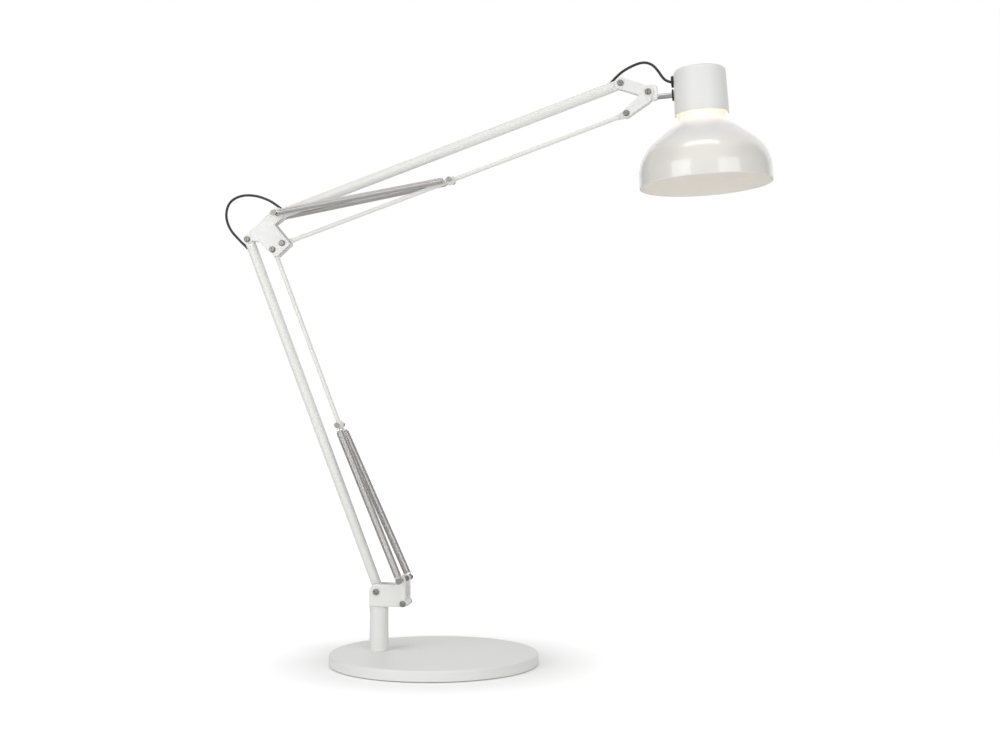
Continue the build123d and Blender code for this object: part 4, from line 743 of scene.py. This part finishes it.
def nut_mesh():
    """Hexagon nut across 7 mm with chamfered corners, standing on y = 0."""
    aim = Matrix.Rotation(math.radians(-90), 4, "X")
    nut = new_piece("nut", from_bmesh(lathe([
        (NUT_BORE_R, 0), (NUT_CORNER_R - 0.9, 0), (NUT_CORNER_R, 0.55), (NUT_CORNER_R, NUT_H - 0.55),
        (NUT_CORNER_R - 0.9, NUT_H), (NUT_BORE_R, NUT_H)], aim, 48), 35), zinc_plated_steel)
    corner = NUT_ACROSS / math.sqrt(3)
    prism = lathe([(0, -1), (corner, -1), (corner, NUT_H + 1), (0, NUT_H + 1)], aim, 6, closed=False)
    return cut(nut, prism, "INTERSECT", 30)


# %% Copies at the pivots
copies_tree, given, out = tree_named("copies_at_pivots", [
    ("Points", "NodeSocketObject", None), ("Part", "NodeSocketObject", None), ("Seed", "NodeSocketInt", 3),
    ("Turn", "NodeSocketFloat", math.pi), ("Material", "NodeSocketMaterial", None)])
points_in = add_node(copies_tree, "GeometryNodeObjectInfo", {"Object": given.outputs["Points"]})
part_in = add_node(copies_tree, "GeometryNodeObjectInfo", {"Object": given.outputs["Part"]})
FLOAT_MAX, FLOAT_VALUE = 3, 1       # the node has a Max and a Value for each type, so they go by number
turned = add_node(copies_tree, "FunctionNodeRandomValue",
                  {FLOAT_MAX: given.outputs["Turn"], "Seed": given.outputs["Seed"]}, data_type="FLOAT")
as_turn = add_node(copies_tree, "ShaderNodeCombineXYZ", {"Y": turned.outputs[FLOAT_VALUE]})
placed = add_node(copies_tree, "GeometryNodeInstanceOnPoints",
                  {"Points": points_in.outputs["Geometry"], "Instance": part_in.outputs["Geometry"],
                   "Rotation": as_turn.outputs["Vector"]})
real = add_node(copies_tree, "GeometryNodeRealizeInstances", {"Geometry": placed.outputs["Instances"]})
finished = add_node(copies_tree, "GeometryNodeSetMaterial",
                    {"Geometry": real.outputs["Geometry"], "Material": given.outputs["Material"]})
copies_tree.links.new(finished.outputs["Geometry"], out.inputs["Geometry"])


def copies(name, part, points, body, node, turn):
    """Copies of a part at some points as one piece, in place of a CAD node."""
    marks = bpy.data.meshes.new("marks")
    marks.from_pydata([tuple(p) for p in points], [], [])
    marker = bpy.data.objects.new("marks", marks)
    bpy.context.scene.collection.objects.link(marker)
    mesh = run_tree(name, copies_tree, {"Points": marker, "Part": part, "Seed": len(name), "Turn": turn,
                                        "Material": zinc_plated_steel})
    bpy.data.objects.remove(marker)
    piece = new_piece(name, mesh, zinc_plated_steel)
    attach(piece, body)
    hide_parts(node)
    print(name, "faces:", len(mesh.polygons))
    return piece


nut = nut_mesh()
for body, half_width, pivots in (
        ("bracket", 12.0, (arm_pivot, rod_pivot)),
        ("elbow", 6.5, (elbow_arm, elbow_rod, elbow_top_rod)),
        ("knuckle", 5.0, (knuckle_arm, knuckle_rod, head_pivot))):
    front = Vector((0, -half_width * MM, 0))
    screw = screw_mesh(half_width)
    copies(f"{body}_pan_screws", screw, [p + front for p in pivots], body, f"{body}_screws", math.pi)
    copies(f"{body}_hex_nuts", nut, [p - front for p in pivots], body, f"{body}_nuts", math.radians(20))
    bpy.data.objects.remove(screw)
bpy.data.objects.remove(nut)

# %% [markdown]
# A balance spring is close-wound wire: a hook round the fixed pin, well over a hundred turns, and a last turn
# drawn in round the shank of a swivel hook. The turns are a spiral, which Geometry Nodes make from a radius,
# a pitch and a wire. The springs of the upper arm really stretch when the arm moves, so they stay where they
# are made and ride on no body.

# %% A node tree that winds wire
wind_tree, given, out = tree_named("wound_wire", [
    ("Turns", "NodeSocketFloat", 100.0), ("Start Radius", "NodeSocketFloat", 0.004),
    ("End Radius", "NodeSocketFloat", 0.004), ("Height", "NodeSocketFloat", 0.15),
    ("Wire Radius", "NodeSocketFloat", 0.0006), ("Steps per Turn", "NodeSocketInt", 20),
    ("Material", "NodeSocketMaterial", None)])
spiral = add_node(wind_tree, "GeometryNodeCurveSpiral", {
    "Resolution": given.outputs["Steps per Turn"], "Rotations": given.outputs["Turns"],
    "Start Radius": given.outputs["Start Radius"], "End Radius": given.outputs["End Radius"],
    "Height": given.outputs["Height"]})
section = add_node(wind_tree, "GeometryNodeCurvePrimitiveCircle", {"Radius": given.outputs["Wire Radius"]},
                   Resolution=8)
wire = add_node(wind_tree, "GeometryNodeCurveToMesh",
                {"Curve": spiral.outputs["Curve"], "Profile Curve": section.outputs["Curve"]}, Fill_Caps=True)
finished = add_node(wind_tree, "GeometryNodeSetMaterial",
                    {"Geometry": wire.outputs["Mesh"], "Material": given.outputs["Material"]})
wind_tree.links.new(finished.outputs["Geometry"], out.inputs["Geometry"])


# %% Springs and their hooks
HOOK_GAP = 0.25                     # between a hook's wire and its pin, all in mm
COIL_FROM, COIL_TO = 5.5, 7.0       # the turns stay this far off the fixed pin and the moving pin
CONE = 3.0                          # length of the drawn-in end turns
STEPS_A_TURN = 20
FIXED_PIN_D, ROD_PIN_D, ROD_PIN_Y = 4.0, 3.0, 9.0


def spring_place(fixed, moving):
    """Frame on the fixed pin, z along the spring and x in the plane of the arms."""
    along = (moving - fixed).normalized()
    side = Vector((along.z, 0.0, -along.x)).normalized()
    across = along.cross(side)
    rotation = Matrix((side, across, along)).transposed().to_4x4()
    return Matrix.Translation(fixed) @ rotation


def half_ring(radius, start, end, steps=10):
    """Arc in the x-z plane of a spring's frame, in mm."""
    return [at(x, z) for x, z in arc(0, 0, radius, start, end, steps)]


def turns_of(fixed, moving, wire_d):
    """Number of turns of wire that lie close together along a spring."""
    wound = (moving - fixed).length / MM - COIL_TO - COIL_FROM - CONE
    return round(wound / (wire_d * 1.03))


def wound_spring(fixed, moving, outer_d, wire_d, pin_d):
    """Hook, turns and drawn-in end of one spring, as a bmesh in the lamp's frame."""
    place = spring_place(fixed, moving)
    coil_r = (outer_d - wire_d) / 2
    hook_r = pin_d / 2 + wire_d / 2 + HOOK_GAP
    length = (moving - fixed).length / MM - COIL_TO - COIL_FROM
    turns = turns_of(fixed, moving, wire_d)
    body = run_tree("turns", wind_tree, {
        "Turns": float(turns), "Start Radius": coil_r * MM, "End Radius": coil_r * MM,
        "Height": (length - CONE) * MM, "Wire Radius": wire_d / 2 * MM, "Steps per Turn": STEPS_A_TURN,
        "Material": spring_wire})
    body.transform(Matrix.Translation(at(0, COIL_FROM)))
    end = run_tree("end_turns", wind_tree, {
        "Turns": 2.0, "Start Radius": coil_r * MM, "End Radius": (wire_d + 1.0) * MM, "Height": CONE * MM,
        "Wire Radius": wire_d / 2 * MM, "Steps per Turn": STEPS_A_TURN, "Material": spring_wire})
    end.transform(Matrix.Translation(at(0, COIL_FROM + length - CONE)))
    hook = line_through("hook", [
        at(-hook_r, 3.4), at(-hook_r, 1.2), *half_ring(hook_r, 180, 360, 8), at(hook_r, 1.2), at(hook_r, 2.4),
        at(coil_r * 0.93, 3.9, -1.6), at(coil_r, 5.2, -0.5), at(coil_r, COIL_FROM, 0.2)], 12)
    bm = tube_mesh(hook, wire_d / 2 * MM, 10)
    bm.from_mesh(body)
    bm.from_mesh(end)
    bmesh.ops.transform(bm, matrix=place, verts=bm.verts)
    return bm


def swivel_hook(fixed, moving, wire_d, pin_d):
    """Hook round the rod's pin, whose beaded shank turns in the end of the spring."""
    place = spring_place(fixed, moving) @ Matrix.Translation(at(0, (moving - fixed).length / MM))
    hook_r = pin_d / 2 + wire_d / 2 + HOOK_GAP
    line = line_through("shank", [
        at(hook_r, -1.6), at(hook_r, -0.6), *half_ring(hook_r, 0, 180, 8), at(-hook_r, -1.0), at(-hook_r, -2.4),
        at(-0.3, -4.6), at(0, -6.4), at(0, -10.0), at(0, -12.0)], 12)
    bm = tube_mesh(line, wire_d / 2 * MM, 10)
    bead = lathe([(0, -13.2), (1.5, -13.2), (2.0, -12.9), (2.0, -12.3), (1.5, -12.0), (0, -12.0)], segments=24,
                 closed=False)
    bm.from_mesh(from_bmesh(bead))
    bmesh.ops.transform(bm, matrix=place, verts=bm.verts)
    return bm


def ends_beside(fixed, fixed_y, moving, side):
    """Both ends of the spring on one side of the arm: -1 is in front, 1 is behind."""
    return fixed + Vector((0, side * fixed_y * MM, 0)), moving + Vector((0, side * ROD_PIN_Y * MM, 0))


def both_sides(make, fixed, fixed_y, moving, *sizes):
    """The front and the rear one of a pair, joined as one bmesh."""
    joined = bmesh.new()
    for side in (-1, 1):
        joined.from_mesh(from_bmesh(make(*ends_beside(fixed, fixed_y, moving, side), *sizes)))
    return joined


for arm, fixed, fixed_y, moving, outer_d, wire_d, hook_body in (
        ("lower", stud_pivot, 20.0, lower_rod_pin, 9.0, 1.2, "lower_rod"),
        ("upper", elbow_top, 17.0, upper_rod_pin, 7.4, 1.1, "upper_spring_end")):
    joined = both_sides(wound_spring, fixed, fixed_y, moving, outer_d, wire_d, FIXED_PIN_D)
    springs = new_piece(f"{arm}_balance_springs", from_bmesh(joined), spring_wire)
    if arm == "lower":
        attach(springs, "lower_spring")
    else:
        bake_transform(springs)
    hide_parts(f"{arm}_springs")
    joined = both_sides(swivel_hook, fixed, fixed_y, moving, wire_d, ROD_PIN_D)
    hooks = new_piece(f"{arm}_swivel_hooks", from_bmesh(joined), spring_wire)
    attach(hooks, hook_body)
    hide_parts(f"{arm}_spring_hooks")
    turns = turns_of(*ends_beside(fixed, fixed_y, moving, 1), wire_d)
    print(arm, "turns on each spring:", turns, "faces:", len(springs.data.polygons))

# %% [markdown]
# The remaining nodes are small or hidden: pins, spacers, the swivel and the parts inside the neck. Their CAD
# shape is right, so they stay and only get a finish.

# %% Finishes for the nodes that stay
FINISHES = {
    "zinc_steel": zinc_plated_steel, "white_plastic": moulded_nylon, "black_rubber": pvc_cord,
    "spring_steel": spring_wire, "painted_steel": coated_steel, "painted_tube": coated_tube,
    "chrome": polished_chrome, "felt": pressed_felt}
slots = {part["node"]: part["material_slot"] for part in frame["record"]["subparts"]}
kept = 0
for node, thing in frame["nodes"].items():
    if not thing.hide_render:
        thing.data.materials.clear()
        thing.data.materials.append(FINISHES[slots[node]])
        kept += 1
print("CAD nodes kept:", kept)

# %% [markdown]
# The studio: a pale floor and soft light. Two window-shaped softboxes stand in front, left and right, and a
# long one hangs above. They light the paint evenly and leave their shapes on the glass. Everything around is
# white for the camera and through the glass, but gives only a moderate light, so the white paint keeps its
# shades.

# %% Floor and surroundings
WHITE = (1.0, 1.0, 1.0, 1.0)
FLOOR_R = 8.0                           # all in metres
SHADE_FROM, SHADE_TO = 0.12, 0.3        # the camera sees the floor brighten between these distances
floor_bm = bmesh.new()
bmesh.ops.create_circle(floor_bm, cap_ends=True, segments=96, radius=FLOOR_R)
floor_material, tree, shader = finish_named("studio_floor", "#F4F4F4", Roughness=0.9)
shader.inputs["Specular IOR Level"].default_value = 0.0
rays = add_node(tree, "ShaderNodeLightPath")
place = add_node(tree, "ShaderNodeTexCoord")
away = add_node(tree, "ShaderNodeVectorMath", {0: place.outputs["Object"]}, operation="LENGTH")
# Painted light that only the camera sees: 0.13 near the base rising to 0.6 from 0.3 m out, so the floor is
# painted darker round the base, where its real shadow also falls.
bright = add_node(tree, "ShaderNodeMapRange", {"Value": away.outputs["Value"]}, From_Min=SHADE_FROM,
                  From_Max=SHADE_TO, To_Min=0.13, To_Max=0.6)
painted_floor_light = add_node(tree, "ShaderNodeEmission", {"Strength": bright.outputs["Result"]}, Color=WHITE)
none = add_node(tree, "ShaderNodeEmission", Color=WHITE, Strength=0.0)
shown = add_node(tree, "ShaderNodeMixShader", {"Fac": rays.outputs["Is Camera Ray"], 1: none.outputs[0],
                                              2: painted_floor_light.outputs[0]})
total = add_node(tree, "ShaderNodeAddShader", {0: shader.outputs[0], 1: shown.outputs[0]})
tree.links.new(total.outputs[0], tree.nodes["Material Output"].inputs["Surface"])
floor = new_piece("floor", from_bmesh(floor_bm), floor_material)

# %% [markdown]
# The walls to the left and right of the studio are dark, as photographers set black flags beside shiny
# things. Only mirrored rays see them: they draw the dark bands along the springs and the grey edges of the
# glass.

# %% World
world = bpy.data.worlds.new("studio")
world.use_nodes = True
bpy.context.scene.world = world
tree = world.node_tree
light = tree.nodes["Background"]
light.inputs["Color"].default_value = WHITE
light.inputs["Strength"].default_value = 0.48
way = add_node(tree, "ShaderNodeTexCoord")
across = add_node(tree, "ShaderNodeVectorMath", {0: way.outputs["Generated"]}, operation="DOT_PRODUCT")
across.inputs[1].default_value = (1.0, 0.0, 0.0)
sideways = add_node(tree, "ShaderNodeMath", {0: across.outputs["Value"]}, operation="ABSOLUTE")
flags = add_node(tree, "ShaderNodeMapRange", {"Value": sideways.outputs[0]}, interpolation_type="SMOOTHSTEP",
                 From_Min=0.5, From_Max=0.75, To_Min=1.0, To_Max=0.03)
mirrored = add_node(tree, "ShaderNodeBackground", {"Strength": flags.outputs["Result"]}, Color=WHITE)
white = add_node(tree, "ShaderNodeBackground", Color=WHITE, Strength=1.0)
rays = add_node(tree, "ShaderNodeLightPath")
seen = add_node(tree, "ShaderNodeMath",
                {0: rays.outputs["Is Camera Ray"], 1: rays.outputs["Is Transmission Ray"]}, operation="MAXIMUM")
for_mirrors = add_node(tree, "ShaderNodeMixShader", {"Fac": rays.outputs["Is Glossy Ray"], 1: light.outputs[0],
                                                    2: mirrored.outputs[0]})
mixed = add_node(tree, "ShaderNodeMixShader", {"Fac": seen.outputs[0], 1: for_mirrors.outputs[0],
                                               2: white.outputs[0]})
tree.links.new(mixed.outputs[0], tree.nodes["World Output"].inputs["Surface"])


# %% Lamps
def softbox(name, place, aim, size, watts):
    """Rectangular area lamp that faces a point."""
    lamp = bpy.data.lights.new(name, "AREA")
    lamp.shape = "RECTANGLE"
    lamp.size, lamp.size_y = size
    lamp.energy = watts
    thing = bpy.data.objects.new(name, lamp)
    bpy.context.scene.collection.objects.link(thing)
    thing.location = place
    thing.rotation_euler = (Vector(aim) - Vector(place)).to_track_quat("-Z", "Y").to_euler()
    return thing


MIDDLE = (0.05, 0.0, 0.35)
softbox("window_left", (-1.1, -1.8, 0.75), MIDDLE, (1.45, 1.1), 13.5)
softbox("window_right", (1.8, -1.55, 0.75), MIDDLE, (1.45, 1.1), 11.0)
softbox("long_box_above", (0.05, -1.1, 3.4), MIDDLE, (2.5, 0.7), 20.0)
bpy.context.scene.view_settings.view_transform = "Standard"
